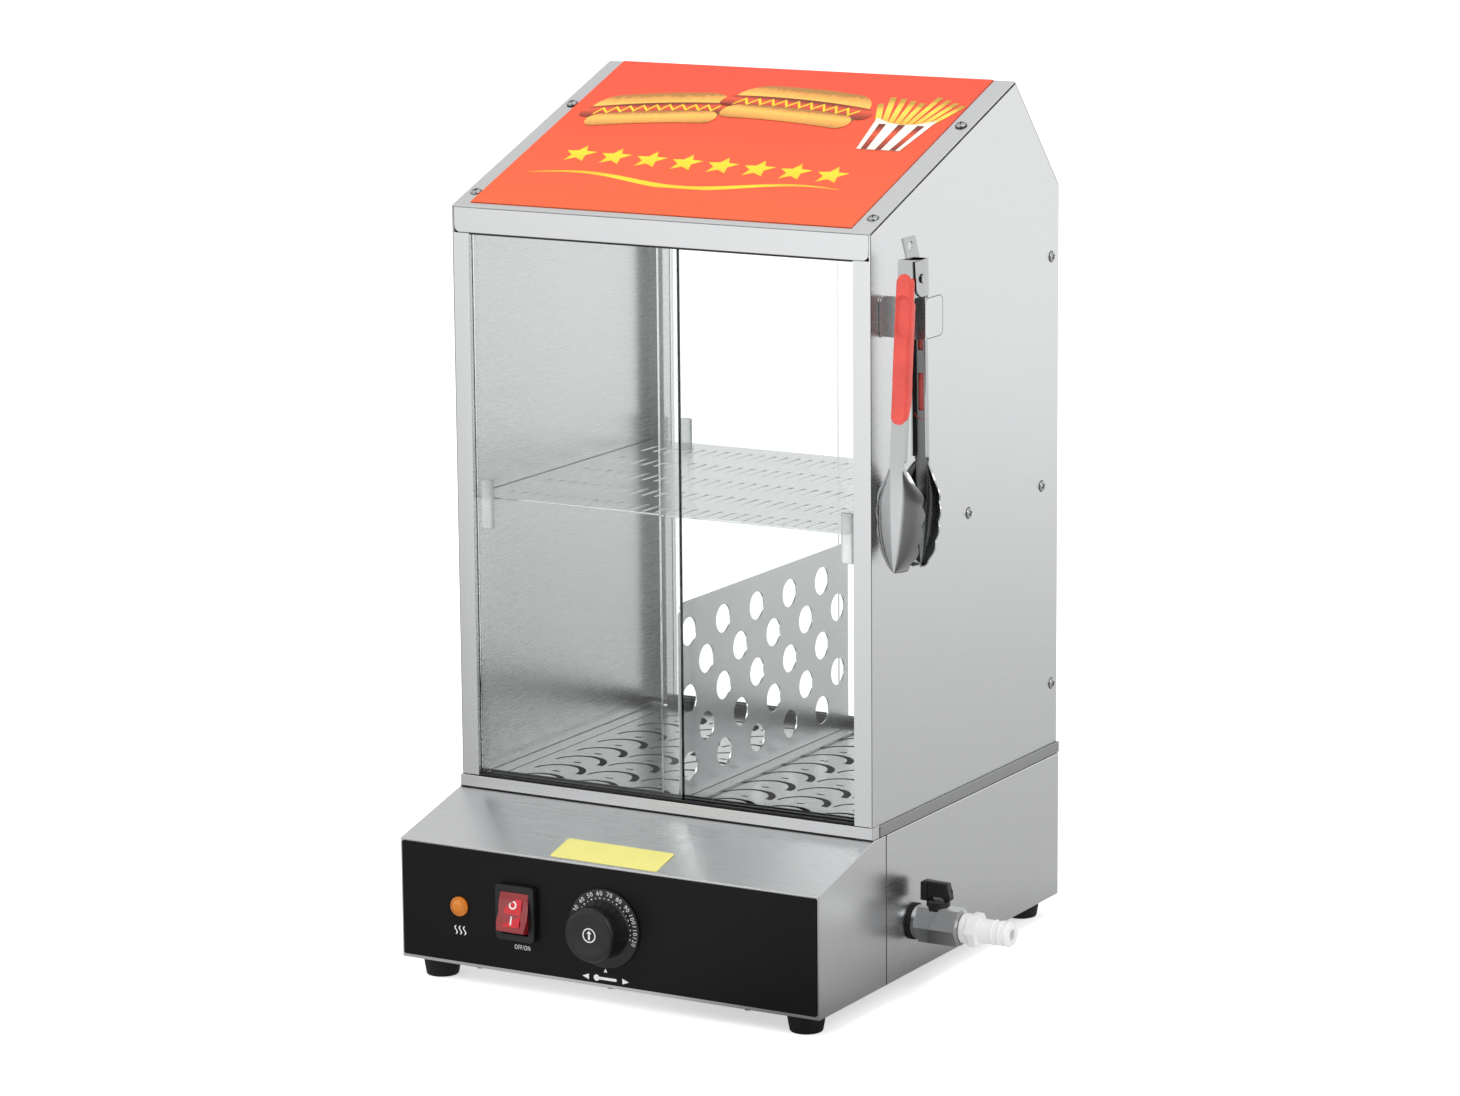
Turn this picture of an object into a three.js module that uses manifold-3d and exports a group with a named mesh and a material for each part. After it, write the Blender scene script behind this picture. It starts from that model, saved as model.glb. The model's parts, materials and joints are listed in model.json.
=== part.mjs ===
// Hot dog steamer: a countertop steam cabinet with a bun shelf, two perforated food trays over a
// water tank, sliding glass doors front and rear, a drain valve and serving tongs on a side bracket.
// Millimetres, +Z up, X across the front, and the controls face -Y.
import * as THREE from "three";
import { mergeVertices } from "three/addons/utils/BufferGeometryUtils.js";
import Module from "manifold-3d";

const wasm = await Module();
wasm.setup();

// Sheet thickness, the clearance that separate pieces keep, and the length by which cuts overrun
const sheet = 1;
const gap = 0.3;
const overrun = 6;

// The base that holds the controls and the tank, and the cabinet above it
const footHeight = 14;
const baseWidth = 324;
const baseDepth = 353.4;
const baseHeight = 103.1;
const baseFaceHeight = 83.7;
const cabinetWidth = 320;
const cabinetDepth = 276.8;
const seamSetback = 16.7;
const eaveHeight = 404.4;
const apexHeight = 482.1;
const apexSetback = 208.7;
const sillHeight = 8.4;
const headerHeight = 18.5;
const postWidth = 13;
const postDepth = 17;

const baseBottom = footHeight;
const baseTop = baseBottom + baseHeight;
const baseFront = -baseDepth / 2;
const baseBack = baseDepth / 2;
const halfBase = baseWidth / 2;
const cabinetFront = baseBack - cabinetDepth;
const cabinetBack = baseBack;
const halfCabinet = cabinetWidth / 2;
const seam = cabinetFront + seamSetback;
const eaveZ = baseTop + eaveHeight;
const apexY = cabinetFront + apexSetback;
const apexZ = baseTop + apexHeight;
const openingBottom = baseTop + sillHeight;
const openingTop = eaveZ - headerHeight;
const halfOpening = halfCabinet - postWidth;
const roundSides = 24;
const smallSides = 12;

// The side rim stands proud of the side panels, and the sill wraps round their front edges
const rimProud = 1.8;
const sillWrap = 8.5;

// Sliding doors, their two-groove tracks and their finger pulls
const track = { depth: 16, groove: 5, ridge: 1.5, rise: 9.6, floor: 3.6, upperFloor: 1.5 };
const upperTrack = { rise: 16, lowered: 1.5 };
const door = { thickness: 4, leftReach: 160, rightReach: 153, upperOverlap: 9, sideGap: 0.3 };
const pull = { width: 9.5, height: 34, base: 0.9, rise: 2.1, inset: 4.7, belowShelf: 19 };
const pullSteps = 8;

// Bun shelf and the angle rails that carry it
const shelf = { height: 201.9, sideGap: 2, slotLength: 24.5, slotWidth: 2.8, slotPitch: 9.7 };
const shelfRows = 5;
const slotsPerRow = 30;
const shelfRowPitch = 48.8;
const shelfFirstRow = 15.1;
const slotSides = 6;
const rail = { drop: 11, reach: 12 };

// Deck that carries the trays, and the trays with their dash and crescent cut-outs
const deck = { rise: 3.9, ledgeDepth: 1.8, ledgeReach: 4, trayGap: 0.6, sideGap: 1.4, bar: 12 };
const tray = { width: 139, rim: 2, proud: 0.4, frontMargin: 1.5, backMargin: 1.5 };
const motif = { dashLength: 6, dashWidth: 2.6, radius: 18.5, tip: 2, blob: 5.6 };
const motifStart = 175;
const motifEnd = -4;
const motifSteps = 7;
const motifColumns = { pitch: 43, first: 29.4 };
const motifColumnCount = 3;
const motifRows = { pitch: 28.1, first: 5 };
const motifRowCount = 8;

// Perforated divider that stands on the right tray
const divider = { height: 136.5, front: 2.2, back: 2.2, foot: 13, offset: 3.4, corner: 9 };
const dividerHole = { radius: 10, pitch: 46.7, rowPitch: 23.4, first: 12.1, top: 21.2 };
const dividerRowCount = 5;
const dividerHoleSides = 16;

// Roof poster
const poster = { width: 292, thickness: 0.4, frontMargin: 4.5, backMargin: 0.6, offset: -2, lift: 0.15 };

// Controls on the front face; x is measured from the middle, z from the bottom of the base
const overlay = { inset: 1.5, lower: 2.5, thickness: 0.5 };
const lamp = { x: -114.5, z: 41.6, radius: 6.8, dome: 3, body: 5, bodyLength: 16 };
const lampSides = 20;
const domeSteps = 5;
const rocker = { x: -68, z: 43.5, width: 21.6, height: 26.6, front: 4.5, back: 5.4, pivotDepth: 3.2 };
const rockerFace = { lip: 0.5, hollow: 0.3, edge: 1 };
const rockerTilt = 15;
const bezel = { width: 29, height: 37, rise: 4.6, floor: 2.4, bodyDepth: 24, corner: 2.5, swing: 2.2 };
const switchHalf = { x: bezel.width / 2 - bezel.corner, z: bezel.height / 2 - bezel.corner };
const dial = { x: 0, z: 41.4, skirt: 27.3, skirtThickness: 1.6, capBase: 19.4, reach: 21.8, edge: 0.8 };
// The cap's face as [radius, set back] from its middle to its rim
const dialFace = [[0, 1], [8.4, 0.4], [14.5, 0], [17.3, 0.4], [18.6, 2]];
const dialSides = 40;
const shaft = { radius: 3, length: 34, bore: 15 };
const thermostat = { size: 34, depth: 22, neck: 5.5 };
const sticker = { width: 84, length: 26, thickness: 0.4, x: -3, fromFront: 2.2, lift: 0.15 };

// Rubber feet with moulded-in studs
const foot = { x: 142, y: 158, top: 13, bottom: 11.2, edge: 1, stud: 2.4, studLength: 7 };
const studClearance = 0.4;
const plateLip = 9;

// Tank, immersed heater, its terminals and the thermostat bulb
const tank = { halfWidth: 140, front: 11.9, back: 26.7, floor: 26, flange: 5.5, notch: 16 };
const deckOpening = { side: 16, back: 18.7 };
const heater = { radius: 4, z: 36, halfSpan: 60, reach: 190, corner: 22, halfGap: 24, stub: 14 };
// Where the heater's path straightens, as shares of its stub and of its corners
const heaterShares = { stub: 1.5, corner: 1.5 };
const heaterSteps = 5;
const heaterSides = 8;
const heaterHole = 4.6;
const terminals = { width: 74, depth: 10, height: 20, fromTank: 8, pinHole: 4.5 };
const bulb = { radius: 3, length: 78, x: 92, z: 48, tail: 20, tailRadius: 1.2 };
const gland = { x: 104, z: 26, nut: 12, neck: 7.6, bore: 3.4, reach: 14, inner: 9, flange: 3, dome: 2 };

// Drain: spout, gasket, ball valve with lever, and the barbed hose tail, all on one axis along X
const drain = { y: -44, z: 34.8, spout: 6, bore: 4.2, flange: 9, flangeThickness: 2, inside: 6 };
const gasket = { outer: 12.5, thickness: 2, lift: 0.3 };
const valve = { start: 2.6, length: 34.9, acrossFlats: 24, chamfer: 2.2, socket: 6.4, socketDepth: 7 };
const valveFlange = { radius: 11.5, length: 4 };
const ball = { radius: 6.3, clearance: 0.3, x: 15.9 };
const ballSides = 16;
const stem = { radius: 2.5, clearance: 0.3, tower: 5.6, notchOuter: 8.6, notchFloor: 5.2 };
const lever = { disc: 8, discRise: 5, length: 22, thickness: 6.4, height: 12.6, tabWidth: 8, shift: -0.5 };
const leverTaper = { heel: 1, nose: 1, noseTop: 2, noseShare: 0.35 };
const barb = { thread: 6.1, collarFlats: 21, collar: 12.9, chamfer: 1 };
const barbTail = { radius: 6.6, ridge: 7.8, length: 23.3, bore: 3.7 };
const barbTip = 0.5;
const barbEdge = 1.2;
const barbRidges = 3;
const barbRidgePitch = 4.6;

// Tong bracket on the right side panel
const bracket = { y: -80, top: 464, height: 27, flange: 8, web: 28.3, lip: 24, corner: 4.5 };
const cornerSteps = 5;

// Tongs, drawn round their pin with the arms hanging down
const tongs = { fromPanel: 20.6, pinRise: 13, top: 12, neck: 5.5, depth: 4.6, reach: 192 };
const tongsFront = { face: 12, ear: 4.4, lean: 5.5 };
const tongsRear = { face: 10, ear: 8.5, lean: -1.4, gripDepth: 2.2 };
const ear = { drop: 4, sheet: 1, side: 0.3 };
const pin = { radius: 2, head: 3.1, headThickness: 1, clearance: 0.3 };
const head = { length: 72, width: 18.2, depth: 9.5, scallop: 0.9, tipCurl: 3, tipWidth: 2.5 };
const armSlotWidth = 4.6;
const armSlotSpans = [[-49, -38], [-89, -64.5]];
const headShares = { widest: 0.42, flat: 0.45, plain: 0.2 };
const headAcross = 8;
const headAlong = 20;
const headScallops = 4.5;
const grip = { top: 3, length: 98, wall: 0.7, side: 0.5, depth: 6, shallow: 3.6, shallowLength: 17 };
const tab = { thickness: 1.5, front: 8.8, back: 8, top: 27.5, lean: 6.5, travel: 8, hole: 3.3, holeDrop: 6 };
const tabEdge = { corner: 1, margin: 2, foldRise: 1 };

const steamer = new THREE.Group();

// Colours by eye: brushed steel, black plastics, rubber, glass and the coloured trims
function finish(color, roughness, metalness) {
  return new THREE.MeshStandardMaterial({ color, roughness, metalness });
}

const steel = () => finish(0xc4c6c8, 0.35, 1);
const darkPlastic = () => finish(0x1b1b1c, 0.45, 0);
const rubber = () => finish(0x141414, 0.8, 0);
const chrome = () => finish(0xd9dadc, 0.12, 1);

function glass() {
  const material = finish(0xdfe8e6, 0.05, 0);
  material.transparent = true;
  material.opacity = 0.3;
  return material;
}

function addPiece(parent, name, geometry, material) {
  const mesh = new THREE.Mesh(geometry, material);
  mesh.name = name;
  parent.add(mesh);
  return mesh;
}

// Turns a closed geometry into a solid, with its faces pointing out
function solid(geometry) {
  const bare = geometry.clone();
  bare.deleteAttribute("normal");
  bare.deleteAttribute("uv");
  const merged = mergeVertices(bare);
  const vertices = merged.attributes.position;
  const triangles = [];
  let volume = 0;
  const corner = (i) => new THREE.Vector3().fromBufferAttribute(vertices, i);
  for (let i = 0; i < merged.index.count; i += 3) {
    const [a, b, c] = [0, 1, 2].map((k) => merged.index.getX(i + k));
    if (a === b || b === c || c === a) continue;
    triangles.push(a, b, c);
    volume += corner(a).dot(corner(b).cross(corner(c)));
  }
  if (volume < 0) triangles.reverse();
  return new wasm.Manifold(
    new wasm.Mesh({
      numProp: 3,
      vertProperties: new Float32Array(vertices.array),
      triVerts: new Uint32Array(triangles),
    }),
  );
}

function shape3d(body) {
  const mesh = body.getMesh();
  const geometry = new THREE.BufferGeometry();
  geometry.setAttribute("position", new THREE.BufferAttribute(mesh.vertProperties, 3));
  geometry.setIndex(new THREE.BufferAttribute(mesh.triVerts, 1));
  geometry.computeVertexNormals();
  return geometry;
}

function join(...geometries) {
  return shape3d(geometries.map(solid).reduce((whole, next) => whole.add(next)));
}

function cut(geometry, ...tools) {
  return shape3d(tools.map(solid).reduce((whole, tool) => whole.subtract(tool), solid(geometry)));
}

function common(first, second) {
  return shape3d(solid(first).intersect(solid(second)));
}

// A box given by its two limits along each axis
function block([x0, x1], [y0, y1], [z0, z1]) {
  const box = new THREE.BoxGeometry(x1 - x0, y1 - y0, z1 - z0);
  return box.translate((x0 + x1) / 2, (y0 + y1) / 2, (z0 + z1) / 2);
}

const axes = {
  x: new THREE.Matrix4().makeBasis(
    new THREE.Vector3(0, 1, 0), new THREE.Vector3(0, 0, 1), new THREE.Vector3(1, 0, 0)),
  y: new THREE.Matrix4().makeBasis(
    new THREE.Vector3(1, 0, 0), new THREE.Vector3(0, 0, 1), new THREE.Vector3(0, -1, 0)),
  z: new THREE.Matrix4(),
};

// Extrudes a shape between two places along an axis; its outline is in YZ, XZ or XY
function extrude(outline, axis, from, to) {
  const shape = outline instanceof THREE.Shape ? outline : new THREE.Shape(outline);
  const geometry = new THREE.ExtrudeGeometry(shape, {
    depth: to - from, bevelEnabled: false, curveSegments: cornerSteps, steps: 1 });
  geometry.translate(0, 0, axis === "y" ? -to : from);
  return geometry.applyMatrix4(axes[axis]);
}

// Turns a profile of [radius, place] pairs round an axis through a point
function turned(profile, axis, [x, y, z], sides = roundSides) {
  const points = profile.map(([radius, place]) => new THREE.Vector2(radius, place));
  const geometry = new THREE.LatheGeometry(points, sides);
  if (axis === "z") geometry.rotateX(Math.PI / 2);
  if (axis === "x") geometry.rotateZ(-Math.PI / 2);
  return geometry.translate(x, y, z);
}

function rod(radius, axis, [from, to], centre, sides = roundSides) {
  return turned([[0, from], [radius, from], [radius, to], [0, to]], axis, centre, sides);
}

const point = (x, y) => new THREE.Vector2(x, y);

// Moves each side of an anticlockwise outline inwards by its own distance
function insetOutline(points, distances) {
  const lines = points.map((start, i) => {
    const along = points[(i + 1) % points.length].clone().sub(start).normalize();
    const inward = point(-along.y, along.x);
    return { start: start.clone().addScaledVector(inward, distances[i]), along };
  });
  return lines.map((line, i) => {
    const before = lines[(i + lines.length - 1) % lines.length];
    const reach = line.start.clone().sub(before.start).cross(line.along) / before.along.cross(line.along);
    return before.start.clone().addScaledVector(before.along, reach);
  });
}

// A rectangle with some corners rounded, anticlockwise from the lower left one
function roundedOutline([x0, x1], [y0, y1], radii) {
  const corners = [[x0, y0, 1, 1], [x1, y0, -1, 1], [x1, y1, -1, -1], [x0, y1, 1, -1]];
  return corners.flatMap(([x, y, sx, sy], i) => {
    const radius = radii[i];
    if (radius === 0) return [point(x, y)];
    const start = Math.PI + (i * Math.PI) / 2;
    return Array.from({ length: cornerSteps + 1 }, (_, k) => {
      const angle = start + ((k / cornerSteps) * Math.PI) / 2;
      return point(x + sx * radius + radius * Math.cos(angle), y + sy * radius + radius * Math.sin(angle));
    });
  });
}

function circle(x, y, radius, sides = roundSides) {
  return Array.from({ length: sides }, (_, i) => {
    const angle = (2 * Math.PI * i) / sides;
    return point(x + radius * Math.cos(angle), y + radius * Math.sin(angle));
  });
}

// A slot with round ends, long in the second direction
function slotOutline(x, y, width, length) {
  const half = width / 2;
  const straight = length / 2 - half;
  const end = (sign) => Array.from({ length: slotSides }, (_, i) => {
    const angle = (i * Math.PI) / (slotSides - 1) + (sign > 0 ? 0 : Math.PI);
    return point(x + half * Math.cos(angle), y + sign * straight + half * Math.sin(angle));
  });
  return [...end(1), ...end(-1)];
}

// Base: the sloping control housing, the rear body, the bottom plate and the feet
const controlZ = (height) => baseBottom + height;

function controlHousing() {
  const rear = seam - gap;
  const outline = [
    point(baseFront, baseBottom),
    point(rear, baseBottom),
    point(rear, baseTop),
    point(cabinetFront, baseTop),
    point(baseFront, baseBottom + baseFaceHeight),
  ];
  const inner = insetOutline(outline, [-overrun, -overrun, sheet, sheet, sheet]);
  const wall = [-overrun, sheet + overrun];
  const through = ([from, to]) => [baseFront + from, baseFront + to];
  return cut(
    extrude(outline, "x", -halfBase, halfBase),
    extrude(inner, "x", sheet - halfBase, halfBase - sheet),
    rod(lamp.body + gap, "y", through(wall), [lamp.x, 0, controlZ(lamp.z)], lampSides),
    block([rocker.x - switchHalf.x, rocker.x + switchHalf.x], through(wall),
      [controlZ(rocker.z - switchHalf.z), controlZ(rocker.z + switchHalf.z)]),
    rod(thermostat.neck + gap, "y", through(wall), [dial.x, 0, controlZ(dial.z)], lampSides),
  );
}

function baseBody() {
  const front = seam + gap;
  const z = controlZ(drain.z);
  return cut(
    block([-halfBase, halfBase], [front, baseBack], [baseBottom, baseTop]),
    block([sheet - halfBase, halfBase - sheet], [front - overrun, baseBack - sheet],
      [baseBottom - overrun, baseTop - sheet]),
    block([deckOpening.side - halfBase, halfBase - deckOpening.side],
      [front - overrun, baseBack - deckOpening.back], [baseTop - sheet - overrun, baseTop + overrun]),
    rod(drain.spout + studClearance, "x", [halfBase - sheet - overrun, halfBase + overrun], [0, drain.y, z]),
    rod(gland.neck + gap, "y", [baseBack - sheet - overrun, baseBack + overrun],
      [gland.x, 0, controlZ(gland.z)]),
  );
}

function bottomPlate() {
  const side = halfBase - sheet - gap;
  const end = baseBack - sheet - gap;
  const holes = [];
  for (const x of [-foot.x, foot.x]) {
    for (const y of [-foot.y, foot.y]) {
      holes.push(rod(foot.stud + studClearance, "z", [baseBottom - overrun, baseBottom + overrun],
        [x, y, 0], smallSides));
    }
  }
  return cut(
    block([-side, side], [-end, end], [baseBottom, baseBottom + sheet + plateLip]),
    block([sheet - side, side - sheet], [sheet - end, end - sheet],
      [baseBottom + sheet, baseBottom + sheet + plateLip + overrun]),
    ...holes,
  );
}

function rubberFoot() {
  const top = footHeight - gap;
  return turned([
    [0, 0],
    [foot.bottom - foot.edge, 0],
    [foot.bottom, foot.edge],
    [foot.top, top - foot.edge],
    [foot.top - foot.edge, top],
    [foot.stud, top],
    [foot.stud, top + foot.studLength],
    [0, top + foot.studLength],
  ], "z", [0, 0, 0]);
}

// Controls: overlay, lamp, switch and thermostat
const overlayFace = baseFront - gap - overlay.thickness;

function controlOverlay() {
  const outline = new THREE.Shape(roundedOutline(
    [overlay.inset - halfBase, halfBase - overlay.inset],
    [controlZ(overlay.lower), controlZ(baseFaceHeight - overlay.inset)],
    [overlay.inset, overlay.inset, overlay.inset, overlay.inset]));
  const sides = [rocker.x - switchHalf.x, rocker.x + switchHalf.x];
  const levels = [controlZ(rocker.z - switchHalf.z), controlZ(rocker.z + switchHalf.z)];
  outline.holes.push(
    new THREE.Path(circle(lamp.x, controlZ(lamp.z), lamp.body + gap, lampSides)),
    new THREE.Path([
      point(sides[0], levels[0]),
      point(sides[1], levels[0]),
      point(sides[1], levels[1]),
      point(sides[0], levels[1]),
    ]),
    new THREE.Path(circle(dial.x, controlZ(dial.z), thermostat.neck + gap, lampSides)),
  );
  return extrude(outline, "y", overlayFace, overlayFace + overlay.thickness);
}

function infoSticker() {
  const along = point(cabinetFront - baseFront, baseHeight - baseFaceHeight).normalize();
  const normal = point(-along.y, along.x);
  const start = point(baseFront, controlZ(baseFaceHeight)).addScaledVector(along, sticker.fromFront);
  const outline = [
    start.clone().addScaledVector(normal, sticker.lift),
    start.clone().addScaledVector(along, sticker.length).addScaledVector(normal, sticker.lift),
    start.clone().addScaledVector(along, sticker.length)
      .addScaledVector(normal, sticker.lift + sticker.thickness),
    start.clone().addScaledVector(normal, sticker.lift + sticker.thickness),
  ];
  return extrude(outline, "x", sticker.x - sticker.width / 2, sticker.x + sticker.width / 2);
}

function indicatorLens() {
  const face = overlayFace - gap;
  const dome = Array.from({ length: domeSteps }, (_, i) => {
    const angle = ((i / domeSteps) * Math.PI) / 2;
    return [lamp.radius * Math.sin(angle), face - lamp.dome * Math.cos(angle)];
  });
  return turned([
    ...dome,
    [lamp.radius, face],
    [lamp.body, face],
    [lamp.body, face + lamp.bodyLength],
    [0, face + lamp.bodyLength],
  ], "y", [lamp.x, 0, controlZ(lamp.z)], lampSides);
}

// The bezel is a frame with the switch body behind it, hollow to take the rocker
function switchBezel() {
  const face = overlayFace - gap;
  const z = controlZ(rocker.z);
  const halfWidth = bezel.width / 2;
  const halfHeight = bezel.height / 2;
  const clear = rocker.width / 2 + gap;
  const tall = rocker.height / 2 + bezel.swing;
  const radii = [bezel.corner, bezel.corner, bezel.corner, bezel.corner];
  const frame = extrude(
    roundedOutline([rocker.x - halfWidth, rocker.x + halfWidth], [z - halfHeight, z + halfHeight], radii),
    "y", face - bezel.rise, face);
  const body = block(
    [rocker.x - switchHalf.x + gap, rocker.x + switchHalf.x - gap],
    [face - sheet, face + bezel.bodyDepth],
    [z - switchHalf.z + gap, z + switchHalf.z - gap]);
  return cut(
    join(frame, body),
    block([rocker.x - clear, rocker.x + clear],
      [face - bezel.rise - overrun, face + bezel.bodyDepth - bezel.floor], [z - tall, z + tall]),
  );
}

// The rocker's face is hollowed a little, and its back is rounded about the pivot
function switchRocker() {
  const half = rocker.height / 2;
  const back = Array.from({ length: smallSides + 1 }, (_, i) => {
    const angle = (i * Math.PI) / smallSides;
    return point(rocker.back * Math.sin(angle), half * Math.cos(angle));
  });
  const outline = [
    ...back,
    point(-rocker.front, -half),
    point(-rocker.front - rockerFace.lip, rockerFace.edge - half),
    point(rockerFace.hollow - rocker.front, 0),
    point(-rocker.front - rockerFace.lip, half - rockerFace.edge),
    point(-rocker.front, half),
  ];
  return extrude(outline, "x", -rocker.width / 2, rocker.width / 2);
}

function thermostatKnob() {
  const back = -gap;
  const skirtFront = back - dial.skirtThickness;
  const face = back - dial.reach;
  return turned([
    ...dialFace.map(([radius, setBack]) => [radius, face + setBack]),
    [dial.capBase, skirtFront - dial.edge],
    [dial.capBase, skirtFront],
    [dial.skirt - dial.edge, skirtFront],
    [dial.skirt, skirtFront + dial.edge],
    [dial.skirt, back],
    [shaft.radius + gap, back],
    [shaft.radius + gap, back - shaft.bore],
    [0, back - shaft.bore],
  ], "y", [0, 0, 0], dialSides);
}

function thermostatShaft() {
  const tip = -shaft.bore;
  return rod(shaft.radius, "y", [tip, tip + shaft.length], [0, 0, 0], lampSides);
}

// A body behind the panel with a hollow neck through it that the shaft turns in
function thermostatBody() {
  const half = thermostat.size / 2;
  const z = controlZ(dial.z);
  const wall = baseFront + sheet + gap;
  const bore = overlayFace - gap - shaft.bore + shaft.length + gap;
  return cut(
    join(
      block([dial.x - half, dial.x + half], [wall, wall + thermostat.depth], [z - half, z + half]),
      rod(thermostat.neck, "y", [overlayFace, wall + sheet], [dial.x, 0, z], lampSides),
    ),
    rod(shaft.radius + gap, "y", [overlayFace - overrun, bore], [dial.x, 0, z], lampSides),
  );
}

// Tank, heater and the parts that serve them
const tankFront = cabinetFront + postDepth + tank.front;
const tankBack = cabinetBack - tank.back;
const tankFloor = baseBottom + tank.floor;

// A folded pan whose flange is notched at the corners
function waterTank() {
  const z = controlZ(drain.z);
  const heaterZ = controlZ(heater.z + gap);
  const inFront = [tankFront - overrun, tankFront + sheet + overrun];
  return cut(
    join(
      block([-tank.halfWidth, tank.halfWidth], [tankFront, tankBack], [tankFloor, baseTop]),
      block([tank.notch - tank.halfWidth, tank.halfWidth - tank.notch],
        [tankFront - tank.flange, tankBack + tank.flange], [baseTop - sheet, baseTop]),
      block([-tank.halfWidth - tank.flange, tank.halfWidth + tank.flange],
        [tankFront + tank.notch, tankBack - tank.notch], [baseTop - sheet, baseTop]),
    ),
    block([sheet - tank.halfWidth, tank.halfWidth - sheet], [tankFront + sheet, tankBack - sheet],
      [tankFloor + sheet, baseTop + overrun]),
    rod(drain.spout + gap, "x", [tank.halfWidth - sheet - overrun, tank.halfWidth + overrun],
      [0, drain.y, z]),
    ...[-heater.halfGap, heater.halfGap].map((x) =>
      rod(heaterHole, "y", inFront, [x, 0, heaterZ], smallSides)),
    rod(bulb.tailRadius + gap, "y", inFront, [bulb.x, 0, controlZ(bulb.z)], smallSides),
  );
}

// The sheathed element runs in from the front wall, spreads and returns in one level loop
function heatingElement() {
  const z = controlZ(heater.z + gap);
  const start = tankFront - heater.stub;
  const inner = tankFront + heater.corner;
  const end = tankFront + heater.reach;
  const left = [
    new THREE.Vector3(-heater.halfGap, start, z),
    new THREE.Vector3(-heater.halfGap, start + heater.stub * heaterShares.stub, z),
    new THREE.Vector3(-heater.halfGap, inner - heater.corner / 2, z),
    new THREE.Vector3(-heater.halfSpan + heater.corner / 2, inner + heater.corner / 2, z),
    new THREE.Vector3(-heater.halfSpan, inner + heater.corner * heaterShares.corner, z),
    new THREE.Vector3(-heater.halfSpan, end - heater.corner * heaterShares.corner, z),
    new THREE.Vector3(-heater.halfSpan + heater.corner / 2, end - heater.corner / 2, z),
    new THREE.Vector3(-heater.halfSpan + heater.corner * heaterShares.corner, end, z),
  ];
  const right = left.map((p) => new THREE.Vector3(-p.x, p.y, p.z)).reverse();
  const path = new THREE.CatmullRomCurve3([...left, ...right], false, "centripetal");
  return new THREE.ExtrudeGeometry(new THREE.Shape(circle(0, 0, heater.radius, heaterSides)), {
    steps: heaterSteps * left.length, bevelEnabled: false, extrudePath: path });
}

function terminalBlock() {
  const z = controlZ(heater.z + gap);
  const back = tankFront - terminals.fromTank;
  const body = block([-terminals.width / 2, terminals.width / 2], [back - terminals.depth, back],
    [z - terminals.height / 2, z + terminals.height / 2]);
  return cut(body, ...[-heater.halfGap, heater.halfGap].map((x) =>
    rod(terminals.pinHole, "y", [back - terminals.depth - overrun, back + overrun], [x, 0, z], smallSides)));
}

function thermostatBulb() {
  const start = tankFront + sheet + overrun;
  return turned([
    [0, start - bulb.tail],
    [bulb.tailRadius, start - bulb.tail],
    [bulb.tailRadius, start],
    [bulb.radius, start + bulb.radius],
    [bulb.radius, start + bulb.length],
    [0, start + bulb.length],
  ], "y", [bulb.x, 0, controlZ(bulb.z)], smallSides);
}

function cableGland() {
  const wall = baseBack;
  const inside = baseBack - sheet;
  return turned([
    [gland.bore, inside - gland.inner],
    [gland.neck, inside - gland.inner],
    [gland.neck, wall + gap],
    [gland.nut, wall + gap],
    [gland.nut, wall + gap + gland.flange],
    [gland.nut - gland.dome, wall + gap + gland.flange + gland.dome],
    [gland.neck, wall + gland.reach],
    [gland.bore, wall + gland.reach],
    [gland.bore, inside - gland.inner],
  ], "y", [gland.x, 0, controlZ(gland.z)], smallSides);
}

// Drain line
const drainZ = controlZ(drain.z);
const drainCentre = [0, drain.y, drainZ];
const valveStart = halfBase + valve.start;
const valveEnd = valveStart + valve.length;

function drainSpout() {
  const inside = tank.halfWidth - drain.inside;
  const shoulder = tank.halfWidth + gap;
  const end = valveStart + valve.socketDepth - gap;
  return turned([
    [drain.bore, inside],
    [drain.spout, inside],
    [drain.spout, shoulder],
    [drain.flange, shoulder],
    [drain.flange, shoulder + drain.flangeThickness],
    [drain.spout, shoulder + drain.flangeThickness],
    [drain.spout, end],
    [drain.bore, end],
    [drain.bore, inside],
  ], "x", drainCentre);
}

function valveGasket() {
  const start = halfBase + gasket.lift;
  return turned([
    [drain.spout + gap, start],
    [gasket.outer, start],
    [gasket.outer, start + gasket.thickness],
    [drain.spout + gap, start + gasket.thickness],
    [drain.spout + gap, start],
  ], "x", drainCentre);
}

function hexOutline(acrossFlats, y, z) {
  return circle(y, z, acrossFlats / 2 / Math.cos(Math.PI / 6), 6);
}

function chamferedHex(acrossFlats, start, end, chamfer) {
  const outer = acrossFlats / 2 + chamfer;
  const flat = acrossFlats / 2 - gap;
  const profile = [
    [0, start],
    [flat, start],
    [outer, start + chamfer],
    [outer, end - chamfer],
    [flat, end],
    [0, end],
  ];
  return common(
    extrude(hexOutline(acrossFlats, drain.y, drainZ), "x", start, end),
    turned(profile, "x", drainCentre),
  );
}

const stemX = valveStart + ball.x;
const hexTop = valve.acrossFlats / 2;

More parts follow.
